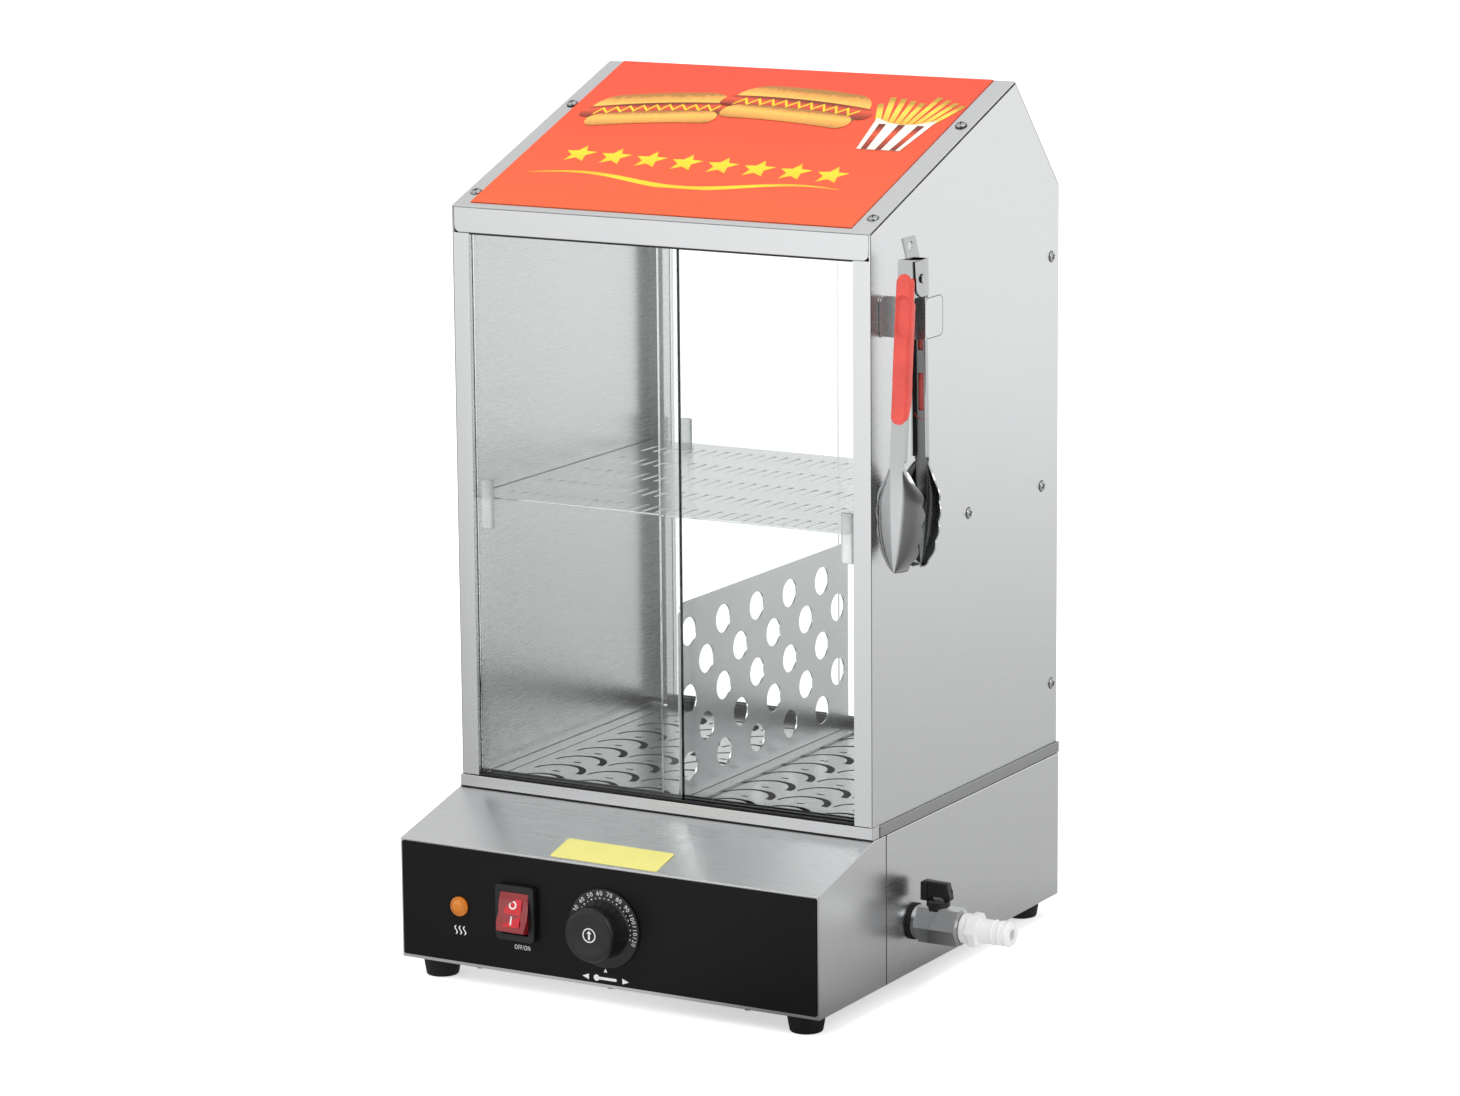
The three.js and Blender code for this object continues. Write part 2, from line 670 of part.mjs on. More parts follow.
function valveBody() {
  const full = [valveStart - overrun, valveEnd + overrun];
  const above = (z) => [drainZ + z, drainZ + hexTop + overrun];
  const notch = cut(
    rod(stem.notchOuter, "z", above(stem.notchFloor), [stemX, drain.y, 0]),
    rod(stem.tower, "z", above(stem.notchFloor - overrun), [stemX, drain.y, 0]),
  );
  const cavity = new THREE.SphereGeometry(ball.radius + ball.clearance, ballSides, ballSides / 2);
  const flangeEnd = valveStart + valveFlange.length;
  return cut(
    join(
      chamferedHex(valve.acrossFlats, flangeEnd, valveEnd, valve.chamfer),
      rod(valveFlange.radius, "x", [valveStart, flangeEnd + valve.chamfer], drainCentre),
    ),
    notch,
    rod(drain.bore, "x", full, drainCentre, smallSides),
    rod(valve.socket, "x", [full[0], valveStart + valve.socketDepth], drainCentre),
    rod(valve.socket, "x", [valveEnd - valve.socketDepth, full[1]], drainCentre),
    cavity.translate(stemX, drain.y, drainZ),
    rod(stem.radius + stem.clearance, "z", above(0), [stemX, drain.y, 0], smallSides),
  );
}

function valveBall() {
  return cut(
    new THREE.SphereGeometry(ball.radius, ballSides, ballSides / 2).translate(stemX, drain.y, drainZ),
    rod(drain.bore, "x", [stemX - ball.radius - overrun, stemX + ball.radius + overrun],
      drainCentre, smallSides),
  );
}

// Stem, disc, wing and the stop tab that sweeps the notch round the stem tower
function valveHandle() {
  const stemFoot = drainZ + ball.radius + gap;
  const discFoot = drainZ + hexTop + gap;
  const discTop = discFoot + lever.discRise;
  const tabFoot = drainZ + stem.notchFloor + gap;
  const middle = stemX + lever.shift;
  const half = lever.length / 2;
  const wingTop = discTop + lever.height;
  const wing = extrude([
    point(middle - half, discTop - gap),
    point(middle + half, discTop - gap),
    point(middle + half - leverTaper.nose, discTop + lever.height * leverTaper.noseShare),
    point(middle + half - leverTaper.noseTop, wingTop),
    point(middle - half + leverTaper.heel, wingTop),
  ], "y", drain.y - lever.thickness / 2, drain.y + lever.thickness / 2);
  const ring = cut(
    rod(lever.disc, "z", [tabFoot, discTop], [stemX, drain.y, 0]),
    rod(stem.tower + gap, "z", [tabFoot - overrun, discFoot], [stemX, drain.y, 0]),
  );
  const stopTab = common(ring, block([stemX - lever.tabWidth / 2, stemX + lever.tabWidth / 2],
    [drain.y - lever.disc - overrun, drain.y - stem.tower], [tabFoot - overrun, discTop]));
  return join(
    rod(lever.disc, "z", [discFoot, discTop], [stemX, drain.y, 0]),
    rod(stem.radius, "z", [stemFoot, discFoot + sheet], [stemX, drain.y, 0], smallSides),
    wing,
    stopTab,
  );
}

function hoseBarb() {
  const thread = valveEnd - valve.socketDepth + gap;
  const collarStart = valveEnd + gap;
  const tailStart = collarStart + barb.collar;
  const end = tailStart + barbTail.length;
  const ridges = [];
  for (let i = barbRidges - 1; i >= 0; i -= 1) {
    const crest = end - i * barbRidgePitch - barbRidgePitch / 2;
    ridges.push([barbTail.radius, crest - barbEdge]);
    ridges.push([barbTail.ridge, crest]);
    ridges.push([barbTail.radius, crest + barbEdge]);
  }
  const pipe = turned([
    [0, thread],
    [barb.thread, thread],
    [barb.thread, collarStart + sheet],
    [barbTail.radius, collarStart + sheet],
    ...ridges,
    [barbTail.radius - barbTip, end],
    [0, end],
  ], "x", drainCentre);
  return cut(
    join(pipe, chamferedHex(barb.collarFlats, collarStart, tailStart, barb.chamfer)),
    rod(barbTail.bore, "x", [thread - overrun, end + overrun], drainCentre, smallSides),
  );
}

// Cabinet sheet metal
const roofSlope = point(apexSetback, apexHeight - eaveHeight).normalize();
const rearSlope = point(cabinetBack - apexY, eaveZ - apexZ).normalize();

function sideOutline() {
  const bottom = baseTop + gap;
  const roof = [
    point(cabinetFront, bottom),
    point(cabinetBack, bottom),
    point(cabinetBack, eaveZ),
    point(apexY, apexZ),
    point(cabinetFront, eaveZ),
  ];
  return insetOutline(roof, [0, 0, sheet + gap, sheet + gap, 0]);
}

// One post is a square tube, open at both ends, folded from the edge of the side panel
function post(side, [y0, y1]) {
  const inner = side * halfOpening;
  const outer = side * halfCabinet;
  const x = [Math.min(inner, outer), Math.max(inner, outer)];
  const z = [openingBottom + gap, openingTop - gap];
  return cut(
    block(x, [y0, y1], z),
    block([x[0] + sheet, x[1] - sheet], [y0 + sheet, y1 - sheet], [z[0] - overrun, z[1] + overrun]),
  );
}

function sidePanel(side) {
  const outer = side * halfCabinet;
  const inner = outer - side * sheet;
  return join(
    extrude(sideOutline(), "x", Math.min(inner, outer), Math.max(inner, outer)),
    post(side, [cabinetFront, cabinetFront + postDepth]),
    post(side, [cabinetBack - postDepth, cabinetBack]),
  );
}

// The front sill closes the front under the doors and wraps round both corners
function frontSill() {
  const z = [baseTop + gap, openingBottom];
  const outer = halfCabinet + gap + sheet;
  const front = cabinetFront - gap - sheet;
  return cut(
    block([-outer, outer], [front, cabinetFront + sillWrap], z),
    block([sheet - outer, outer - sheet], [cabinetFront - gap, cabinetFront + sillWrap + overrun],
      [z[0] - overrun, z[1] + overrun]),
  );
}

// The rim carries on along the sides and across the back
function sideRim() {
  const z = [baseTop + gap, openingBottom - gap];
  const outer = halfCabinet + rimProud;
  const front = cabinetFront + sillWrap + gap;
  return cut(
    block([-outer, outer], [front, cabinetBack + gap + sheet], z),
    block([-halfCabinet - gap, halfCabinet + gap], [front - overrun, cabinetBack + gap],
      [z[0] - overrun, z[1] + overrun]),
  );
}

function frontHeader() {
  const half = halfCabinet - sheet - gap;
  const top = eaveZ - sheet - gap * 2;
  const outline = roundedOutline([-half, half], [openingTop, top],
    [bracket.corner, bracket.corner, 0, 0]);
  return extrude(outline, "y", cabinetFront, cabinetFront + sheet);
}

function roofPanelFront() {
  const front = cabinetFront - sheet;
  const back = apexY - gap / 2;
  const height = (y) => eaveZ + ((y - cabinetFront) * roofSlope.y) / roofSlope.x;
  const drop = sheet / roofSlope.x;
  return extrude([
    point(front, height(front) - drop),
    point(back, height(back) - drop),
    point(back, height(back)),
    point(front, height(front)),
  ], "x", -halfCabinet, halfCabinet);
}

function roofPanelRear() {
  const front = apexY + gap / 2;
  const height = (y) => apexZ + ((y - apexY) * rearSlope.y) / rearSlope.x;
  const drop = sheet / rearSlope.x;
  const slope = extrude([
    point(front, height(front) - drop),
    point(cabinetBack, height(cabinetBack) - drop),
    point(cabinetBack, height(cabinetBack)),
    point(front, height(front)),
  ], "x", -halfCabinet, halfCabinet);
  const half = halfCabinet - sheet - gap;
  const header = block([-half, half], [cabinetBack - sheet, cabinetBack], [openingTop, eaveZ - gap]);
  return join(slope, header);
}

function roofPoster() {
  const along = roofSlope;
  const normal = point(-along.y, along.x);
  const length = Math.hypot(apexSetback, apexHeight - eaveHeight);
  const at = (distance, lift) => point(cabinetFront, eaveZ)
    .addScaledVector(along, distance).addScaledVector(normal, lift);
  const low = poster.lift;
  const high = poster.lift + poster.thickness;
  return extrude([
    at(poster.frontMargin, low),
    at(length - poster.backMargin, low),
    at(length - poster.backMargin, high),
    at(poster.frontMargin, high),
  ], "x", poster.offset - poster.width / 2, poster.offset + poster.width / 2);
}

// Doors: a rear set mirrors the front one, so places are measured inwards from each face
const trackHalf = halfOpening - gap;
const grooveCentres = [
  track.ridge + track.groove / 2,
  track.depth - track.ridge - track.groove / 2,
];
const trackInset = sheet + gap;
const faces = { front: { start: cabinetFront, inward: 1 }, rear: { start: cabinetBack, inward: -1 } };

function between(face, near, far) {
  const a = face.start + face.inward * near;
  const b = face.start + face.inward * far;
  return [Math.min(a, b), Math.max(a, b)];
}

function doorTrack(face, upper) {
  const z = upper
    ? [openingTop - upperTrack.lowered, openingTop - upperTrack.lowered + upperTrack.rise]
    : [baseTop + gap, baseTop + gap + track.rise];
  const grooves = grooveCentres.map((centre) => block(
    [-halfCabinet, halfCabinet],
    between(face, trackInset + centre - track.groove / 2, trackInset + centre + track.groove / 2),
    upper ? [z[0] - overrun, z[1] - track.upperFloor] : [baseTop + gap + track.floor, z[1] + overrun],
  ));
  const depth = between(face, trackInset, trackInset + track.depth);
  return cut(block([-trackHalf, trackHalf], depth, z), ...grooves);
}

const glassBottom = baseTop + gap + track.floor + gap;
const glassTop = openingTop + door.upperOverlap;

// The left pane of each set runs in the outer groove, the right one in the inner groove
function doorPane(face, left) {
  const centre = trackInset + grooveCentres[left ? 0 : 1];
  const reach = left ? door.leftReach : door.rightReach;
  const x = left ? [door.sideGap - halfOpening, door.sideGap - halfOpening + reach]
    : [halfOpening - door.sideGap - reach, halfOpening - door.sideGap];
  const half = door.thickness / 2;
  return block(x, between(face, centre - half, centre + half), [glassBottom, glassTop]);
}

// A finger pull is a thin plate with a crowned grip, glued to the outer side of its pane
function fingerPull() {
  const half = pull.width / 2;
  const crown = Array.from({ length: pullSteps + 1 }, (_, i) => {
    const share = 1 - (2 * i) / pullSteps;
    return point(half * share, -pull.base - pull.rise * Math.sqrt(1 - share * share));
  });
  return extrude([point(-half, 0), point(half, 0), ...crown], "z", 0, pull.height);
}

const shelfTop = baseTop + shelf.height;

function placePull(name, face, left) {
  const mesh = addPiece(steamer, name, fingerPull(), finish(0xe9eceb, 0.3, 0));
  const centre = trackInset + grooveCentres[left ? 0 : 1];
  const x = halfOpening - pull.inset - pull.width / 2 - door.sideGap;
  mesh.position.set(left ? -x : x, face.start + face.inward * (centre - door.thickness / 2 - gap),
    shelfTop - pull.belowShelf);
  if (face === faces.rear) mesh.rotation.z = Math.PI;
}

// Interior: rails, shelf, deck, trays and divider
const interiorFront = cabinetFront + trackInset + track.depth;
const interiorBack = cabinetBack - trackInset - track.depth;

function shelfRail(side) {
  const wall = halfCabinet - sheet - gap;
  const top = shelfTop - sheet - gap;
  const ends = [interiorFront, interiorBack];
  const xRange = (a, b) => (side > 0 ? [a, b] : [-b, -a]);
  return join(
    block(xRange(wall - sheet, wall), ends, [top - rail.drop, top]),
    block(xRange(wall - rail.reach, wall), ends, [top - sheet, top]),
  );
}

function bunShelf() {
  const half = halfCabinet - shelf.sideGap;
  const bottom = shelfTop - sheet;
  const first = -((slotsPerRow - 1) * shelf.slotPitch) / 2;
  const slots = [];
  for (let row = 0; row < shelfRows; row += 1) {
    const y = interiorFront + shelfFirstRow + row * shelfRowPitch;
    for (let i = 0; i < slotsPerRow; i += 1) {
      const x = first + i * shelf.slotPitch;
      slots.push(block([x - shelf.slotWidth / 2, x + shelf.slotWidth / 2],
        [y - shelf.slotLength / 2, y + shelf.slotLength / 2], [bottom - overrun, shelfTop + overrun]));
    }
  }
  return cut(block([-half, half], [interiorFront, interiorBack], [bottom, shelfTop]), ...slots);
}

const deckTop = baseTop + deck.rise;
const trayFront = interiorFront + tray.frontMargin;
const trayBack = interiorBack - tray.backMargin;

function deckFrame() {
  const half = halfCabinet - deck.sideGap - gap;
  const ledge = deckTop - deck.ledgeDepth;
  const bottom = baseTop + gap;
  const openings = [-1, 1].flatMap((side) => {
    const near = side * (deck.bar / 2 - deck.trayGap);
    const far = side * (deck.bar / 2 + tray.width + deck.trayGap);
    const x = [Math.min(near, far), Math.max(near, far)];
    const y = [trayFront - deck.trayGap, trayBack + deck.trayGap];
    return [
      block(x, y, [ledge, deckTop + overrun]),
      block([x[0] + deck.ledgeReach, x[1] - deck.ledgeReach],
        [y[0] + deck.ledgeReach, y[1] - deck.ledgeReach], [bottom - overrun, deckTop + overrun]),
    ];
  });
  return cut(
    block([-half, half], [interiorFront + gap, interiorBack - gap], [bottom, deckTop]),
    ...openings,
  );
}

// A crescent that swells from a thin tip at the left to a blunt end at the right
function crescent(x, y) {
  const angleAt = (share) => THREE.MathUtils.degToRad(motifStart + (motifEnd - motifStart) * share);
  const edge = (side) => Array.from({ length: motifSteps + 1 }, (_, i) => {
    const share = i / motifSteps;
    const angle = angleAt(share);
    const radius = motif.radius + (side * (motif.tip + (motif.blob - motif.tip) * share)) / 2;
    return point(x + radius * Math.cos(angle), y + radius * Math.sin(angle));
  });
  return [...edge(1), ...edge(-1).reverse()];
}

function foodTray(left) {
  const start = left ? -deck.bar / 2 - tray.width : deck.bar / 2;
  const bottom = deckTop - deck.ledgeDepth + gap;
  const top = deckTop + tray.proud;
  const through = [bottom - overrun, top + overrun];
  const outline = roundedOutline([start, start + tray.width], [trayFront, trayBack],
    [tray.rim, tray.rim, tray.rim, tray.rim]);
  const holes = [];
  for (let i = 0; i < motifColumnCount; i += 1) {
    for (let j = 0; j < motifRowCount; j += 1) {
      const x = start + motifColumns.first + i * motifColumns.pitch;
      const y = trayFront + motifRows.first + j * motifRows.pitch;
      holes.push(
        block([x - motif.dashLength / 2, x + motif.dashLength / 2],
          [y - motif.dashWidth / 2, y + motif.dashWidth / 2], through),
        extrude(crescent(x, y), "z", ...through),
      );
    }
  }
  return cut(extrude(outline, "z", bottom, top), ...holes);
}

function dividerPlate() {
  const bottom = deckTop + tray.proud + gap;
  const top = bottom + divider.height;
  const y = [interiorFront + divider.front, interiorBack - divider.back];
  const outline = new THREE.Shape(roundedOutline(y, [bottom, top], [0, 0, divider.corner, divider.corner]));
  for (let row = 0; row < dividerRowCount; row += 1) {
    const shift = row % 2 === 0 ? 0 : dividerHole.pitch / 2;
    for (let i = 0; i < dividerRowCount; i += 1) {
      outline.holes.push(new THREE.Path(circle(
        y[0] + dividerHole.first + shift + i * dividerHole.pitch,
        top - dividerHole.top - row * dividerHole.rowPitch,
        dividerHole.radius, dividerHoleSides)));
    }
  }
  return join(
    extrude(outline, "x", divider.offset, divider.offset + sheet),
    block([divider.offset, divider.offset + divider.foot], y, [bottom, bottom + sheet]),
  );
}

// Tong bracket: a flange on the panel, a web that the tongs straddle and a lip that keeps them on
const panelFace = halfCabinet + gap;
const bracketTop = footHeight + bracket.top;

function tongBracket() {
  const z = [bracketTop - bracket.height, bracketTop];
  const webBack = bracket.y + sheet / 2;
  const webFront = bracket.y - sheet / 2;
  const outer = panelFace + bracket.web + sheet;
  const flange = extrude(roundedOutline([webFront - bracket.flange, webBack], z,
    [bracket.corner, 0, 0, bracket.corner]), "x", panelFace, panelFace + sheet);
  const lip = extrude(roundedOutline([webFront, webBack + bracket.lip], z,
    [0, bracket.corner, bracket.corner, 0]), "x", outer - sheet, outer);
  return join(flange, block([panelFace, outer], [webFront, webBack], z), lip);
}

// Tongs: each arm is a shallow channel with ears round the pin and a scalloped spoon at its end.
// The front arm faces -Y; the rear arm is the same shape turned to face +Y, with wider ears.
function headShell() {
  const across = headAcross;
  const along = headAlong;
  const start = -tongs.reach + head.length;
  const outer = [];
  const inner = [];
  for (let j = 0; j <= along; j += 1) {
    const t = j / along;
    const beyond = (t - headShares.widest) / (1 - headShares.widest);
    const round = Math.sqrt(Math.max(0, 1 - beyond * beyond));
    const swell = t < headShares.widest
      ? tongs.neck + (head.width - tongs.neck) * Math.sin(((t / headShares.widest) * Math.PI) / 2)
      : head.tipWidth + (head.width - head.tipWidth) * round;
    const ripple = Math.max(0, (t - headShares.plain) / (1 - headShares.plain));
    const half = swell - head.scallop * (1 - Math.abs(Math.sin(headScallops * Math.PI * ripple)));
    for (let i = 0; i <= across; i += 1) {
      const u = (2 * i) / across - 1;
      const fold = Math.max(0, Math.abs(u) - headShares.flat) / (1 - headShares.flat);
      const bowl = head.depth * (half / head.width) * fold;
      const y = bowl + head.tipCurl * t * t;
      const z = start - head.length * t;
      outer.push(half * u, y, z);
      inner.push(half * u, y + sheet, z);
    }
  }
  return thickGrid(outer, inner, across, along);
}

// Closes two matching grids of points into one thin shell
function thickGrid(outer, inner, across, along) {
  const row = across + 1;
  const offset = row * (along + 1);
  const triangles = [];
  const quad = (a, b, c, d) => triangles.push(a, b, c, a, c, d);
  for (let j = 0; j < along; j += 1) {
    for (let i = 0; i < across; i += 1) {
      const a = j * row + i;
      quad(a, a + row, a + row + 1, a + 1);
      quad(offset + a, offset + a + 1, offset + a + row + 1, offset + a + row);
    }
    const left = j * row;
    const right = j * row + across;
    quad(left, offset + left, offset + left + row, left + row);
    quad(right, right + row, offset + right + row, offset + right);
  }
  const last = along * row;
  for (let i = 0; i < across; i += 1) {
    quad(i, i + 1, offset + i + 1, offset + i);
    quad(last + i, offset + last + i, offset + last + i + 1, last + i + 1);
  }
  const geometry = new THREE.BufferGeometry();
  geometry.setAttribute("position", new THREE.Float32BufferAttribute([...outer, ...inner], 3));
  geometry.setIndex(triangles);
  return geometry;
}

function earPlates(face, reach, inside, outside) {
  const centre = (reach - face + sheet) / 2;
  const radius = reach - centre;
  const bottom = -ear.drop;
  const arc = Array.from({ length: smallSides + 1 }, (_, i) => {
    const angle = Math.PI + (i * Math.PI) / smallSides;
    return point(centre + radius * Math.cos(angle), bottom + radius * Math.sin(angle));
  });
  const outline = [...arc, point(reach, tongs.top), point(-face, tongs.top), point(-face, bottom)];
  return cut(
    extrude(outline, "x", -outside, outside),
    block([-inside, inside], [-face + sheet, reach + overrun], [-tongs.reach, tongs.top + overrun]),
    rod(pin.radius + pin.clearance, "x", [-outside - overrun, outside + overrun], [0, 0, 0], smallSides),
  );
}

function tongArm(face, reach, inside) {
  const outside = inside + ear.sheet;
  const neckEnd = -tongs.reach + head.length - sheet;
  const channel = cut(
    block([-tongs.neck, tongs.neck], [-face, -face + tongs.depth], [neckEnd, -ear.drop]),
    block([ear.sheet - tongs.neck, tongs.neck - ear.sheet], [-face + sheet, -face + tongs.depth + overrun],
      [neckEnd - overrun, overrun]),
  );
  const spoon = headShell().translate(0, -face, 0);
  const floor = block([-tongs.neck, tongs.neck], [-face, -face + sheet], [neckEnd, sheet - ear.drop]);
  const half = armSlotWidth / 2;
  const slots = armSlotSpans.map((span) => block([-half, half], [-face - overrun, -face + sheet + overrun],
    span));
  return cut(join(earPlates(face, reach, inside, outside), channel, floor, spoon), ...slots);
}

function tongGrip(face, reach, inside, depth) {
  const shallow = Math.min(grip.shallow, depth);
  const half = tongs.neck + gap + grip.side;
  const front = -face - gap - grip.wall;
  const top = grip.top;
  const bottom = grip.top - grip.length;
  const side = extrude([
    point(front, top),
    point(front, bottom),
    point(front + shallow, bottom),
    point(front + depth, bottom + shallow),
    point(front + depth, top - grip.shallowLength - shallow),
    point(front + shallow, top - grip.shallowLength),
    point(front + shallow, top),
  ], "x", -half, half);
  const rounded = extrude(roundedOutline([-half, half], [bottom, top],
    [tongs.neck, tongs.neck, tongs.neck, tongs.neck]), "y", front - overrun, front + depth + overrun);
  const behind = [-face - gap, -face + depth + overrun];
  const earHalf = inside + ear.sheet + gap;
  const earFoot = -ear.drop - (reach + face) / 2;
  return cut(
    common(side, rounded),
    block([-tongs.neck - gap, tongs.neck + gap], behind, [bottom - overrun, top + overrun]),
    block([-earHalf, earHalf], behind, [earFoot, top + overrun]),
  );
}

function tongPin() {
  const half = tongs.neck + gap + ear.sheet + gap;
  return turned([
    [0, -half - pin.headThickness],
    [pin.head, -half - pin.headThickness],
    [pin.head, -half],
    [pin.radius, -half],
    [pin.radius, half],
    [pin.head, half],
    [pin.head, half + pin.headThickness],
    [0, half + pin.headThickness],
  ], "x", [0, 0, 0], smallSides);
}

// The pull tab slides on the pin by its slot and leans forward above the arms
function pullTab() {
  const bottom = -tab.travel - pin.radius - pin.clearance - tabEdge.margin;
  const fold = tongs.top + tabEdge.foldRise;
  const outline = new THREE.Shape([
    point(-tab.front, bottom + tabEdge.corner),
    point(tabEdge.corner - tab.front, bottom),
    point(tab.back - tabEdge.corner, bottom),
    point(tab.back, bottom + tabEdge.corner),
    point(tab.back, fold),
    point(tab.back - tab.lean, tab.top),
    point(-tab.front - tab.lean, tab.top),
    point(-tab.front, fold),
  ]);
  const half = pin.radius + pin.clearance;
  outline.holes.push(
    new THREE.Path(slotOutline(0, -tab.travel / 2, 2 * half, tab.travel + 2 * half)),
    new THREE.Path(circle((tab.back - tab.front) / 2 - tab.lean + tabEdge.margin, tab.top - tab.holeDrop,
      tab.hole, smallSides)),
  );
  return extrude(outline, "x", -tab.thickness / 2, tab.thickness / 2);
}

// Assembly
addPiece(steamer, "control_housing", controlHousing(), steel());
addPiece(steamer, "base_body", baseBody(), steel());
addPiece(steamer, "bottom_plate", bottomPlate(), steel());
for (const [name, x, y] of [
  ["foot_front_left", -foot.x, -foot.y],
  ["foot_front_right", foot.x, -foot.y],
  ["foot_rear_left", -foot.x, foot.y],
  ["foot_rear_right", foot.x, foot.y],
]) {
  addPiece(steamer, name, rubberFoot(), rubber()).position.set(x, y, 0);
}

addPiece(steamer, "control_overlay", controlOverlay(), finish(0x262626, 0.4, 0));
addPiece(steamer, "info_sticker", infoSticker(), finish(0xfbf26a, 0.5, 0));
addPiece(steamer, "indicator_lens", indicatorLens(), finish(0xf08a00, 0.2, 0));
addPiece(steamer, "switch_bezel", switchBezel(), darkPlastic());
const switchMesh = addPiece(steamer, "switch_rocker", switchRocker(), finish(0xb0141c, 0.2, 0));
switchMesh.position.set(rocker.x, overlayFace - gap - rocker.pivotDepth, controlZ(rocker.z));
switchMesh.rotation.x = -THREE.MathUtils.degToRad(rockerTilt);
addPiece(steamer, "thermostat_body", thermostatBody(), steel());
const knobGroup = new THREE.Group();
knobGroup.position.set(dial.x, overlayFace, controlZ(dial.z));
addPiece(knobGroup, "thermostat_knob", thermostatKnob(), darkPlastic());
addPiece(knobGroup, "thermostat_shaft", thermostatShaft(), steel());
steamer.add(knobGroup);

addPiece(steamer, "water_tank", waterTank(), steel());
addPiece(steamer, "heating_element", heatingElement(), finish(0x8b8d8f, 0.4, 1));
addPiece(steamer, "terminal_block", terminalBlock(), finish(0xe4e0d6, 0.5, 0));
addPiece(steamer, "thermostat_bulb", thermostatBulb(), finish(0xb87333, 0.35, 1));
addPiece(steamer, "cable_gland", cableGland(), darkPlastic());

addPiece(steamer, "drain_spout", drainSpout(), steel());
addPiece(steamer, "valve_gasket", valveGasket(), rubber());
addPiece(steamer, "valve_body", valveBody(), chrome());
addPiece(steamer, "valve_ball", valveBall(), chrome());
addPiece(steamer, "valve_handle", valveHandle(), darkPlastic());
addPiece(steamer, "hose_barb", hoseBarb(), finish(0xf4f4f2, 0.4, 0));

addPiece(steamer, "left_side_panel", sidePanel(-1), steel());
addPiece(steamer, "right_side_panel", sidePanel(1), steel());
addPiece(steamer, "front_sill", frontSill(), steel());
addPiece(steamer, "side_rim", sideRim(), steel());
addPiece(steamer, "front_header", frontHeader(), steel());
addPiece(steamer, "roof_panel_front", roofPanelFront(), steel());
addPiece(steamer, "roof_panel_rear", roofPanelRear(), steel());
addPiece(steamer, "roof_poster", roofPoster(), finish(0xe8442a, 0.3, 0));

for (const [side, face] of Object.entries(faces)) {
  addPiece(steamer, `${side}_lower_track`, doorTrack(face, false), darkPlastic());
  addPiece(steamer, `${side}_upper_track`, doorTrack(face, true), darkPlastic());
  for (const left of [true, false]) {
    const name = `${side}_${left ? "left" : "right"}_door`;
    addPiece(steamer, `${name}_glass`, doorPane(face, left), glass());
    placePull(`${name}_pull`, face, left);
  }
}

addPiece(steamer, "left_shelf_rail", shelfRail(-1), steel());
addPiece(steamer, "right_shelf_rail", shelfRail(1), steel());
addPiece(steamer, "bun_shelf", bunShelf(), steel());
addPiece(steamer, "deck_frame", deckFrame(), steel());
addPiece(steamer, "left_food_tray", foodTray(true), steel());
addPiece(steamer, "right_food_tray", foodTray(false), steel());
addPiece(steamer, "tray_divider", dividerPlate(), steel());

addPiece(steamer, "tong_bracket", tongBracket(), steel());
const tongGroup = new THREE.Group();
tongGroup.position.set(halfCabinet + tongs.fromPanel, bracket.y, bracketTop + tongs.pinRise);
const frontArm = new THREE.Group();
frontArm.rotation.x = THREE.MathUtils.degToRad(-tongsFront.lean);
const frontShape = [tongsFront.face, tongsFront.ear, tongs.neck - ear.sheet];
addPiece(frontArm, "tong_front_arm", tongArm(...frontShape), steel());
addPiece(frontArm, "tong_front_grip", tongGrip(...frontShape, grip.depth), finish(0xf0574e, 0.5, 0));
const rearArm = new THREE.Group();
rearArm.rotation.set(THREE.MathUtils.degToRad(-tongsRear.lean), 0, Math.PI);
const rearShape = [tongsRear.face, tongsRear.ear, tongs.neck + ear.side];
addPiece(rearArm, "tong_rear_arm", tongArm(...rearShape), steel());
addPiece(rearArm, "tong_rear_grip", tongGrip(...rearShape, tongsRear.gripDepth), finish(0xf0574e, 0.5, 0));
tongGroup.add(frontArm, rearArm);
addPiece(tongGroup, "tong_pull_tab", pullTab(), steel());
addPiece(tongGroup, "tong_pin", tongPin(), steel());
steamer.add(tongGroup);

// The origin is under the middle of the whole object, on the surface it stands on
steamer.updateMatrixWorld(true);
const reach = new THREE.Box3().setFromObject(steamer, true);
const centre = reach.getCenter(new THREE.Vector3());
steamer.position.set(-centre.x, -centre.y, -reach.min.z);
steamer.updateMatrixWorld(true);

export default steamer;
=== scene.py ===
import json
from math import copysign, cos, hypot, pi, radians, sin

import bmesh
import bpy
from mathutils import Matrix, Vector


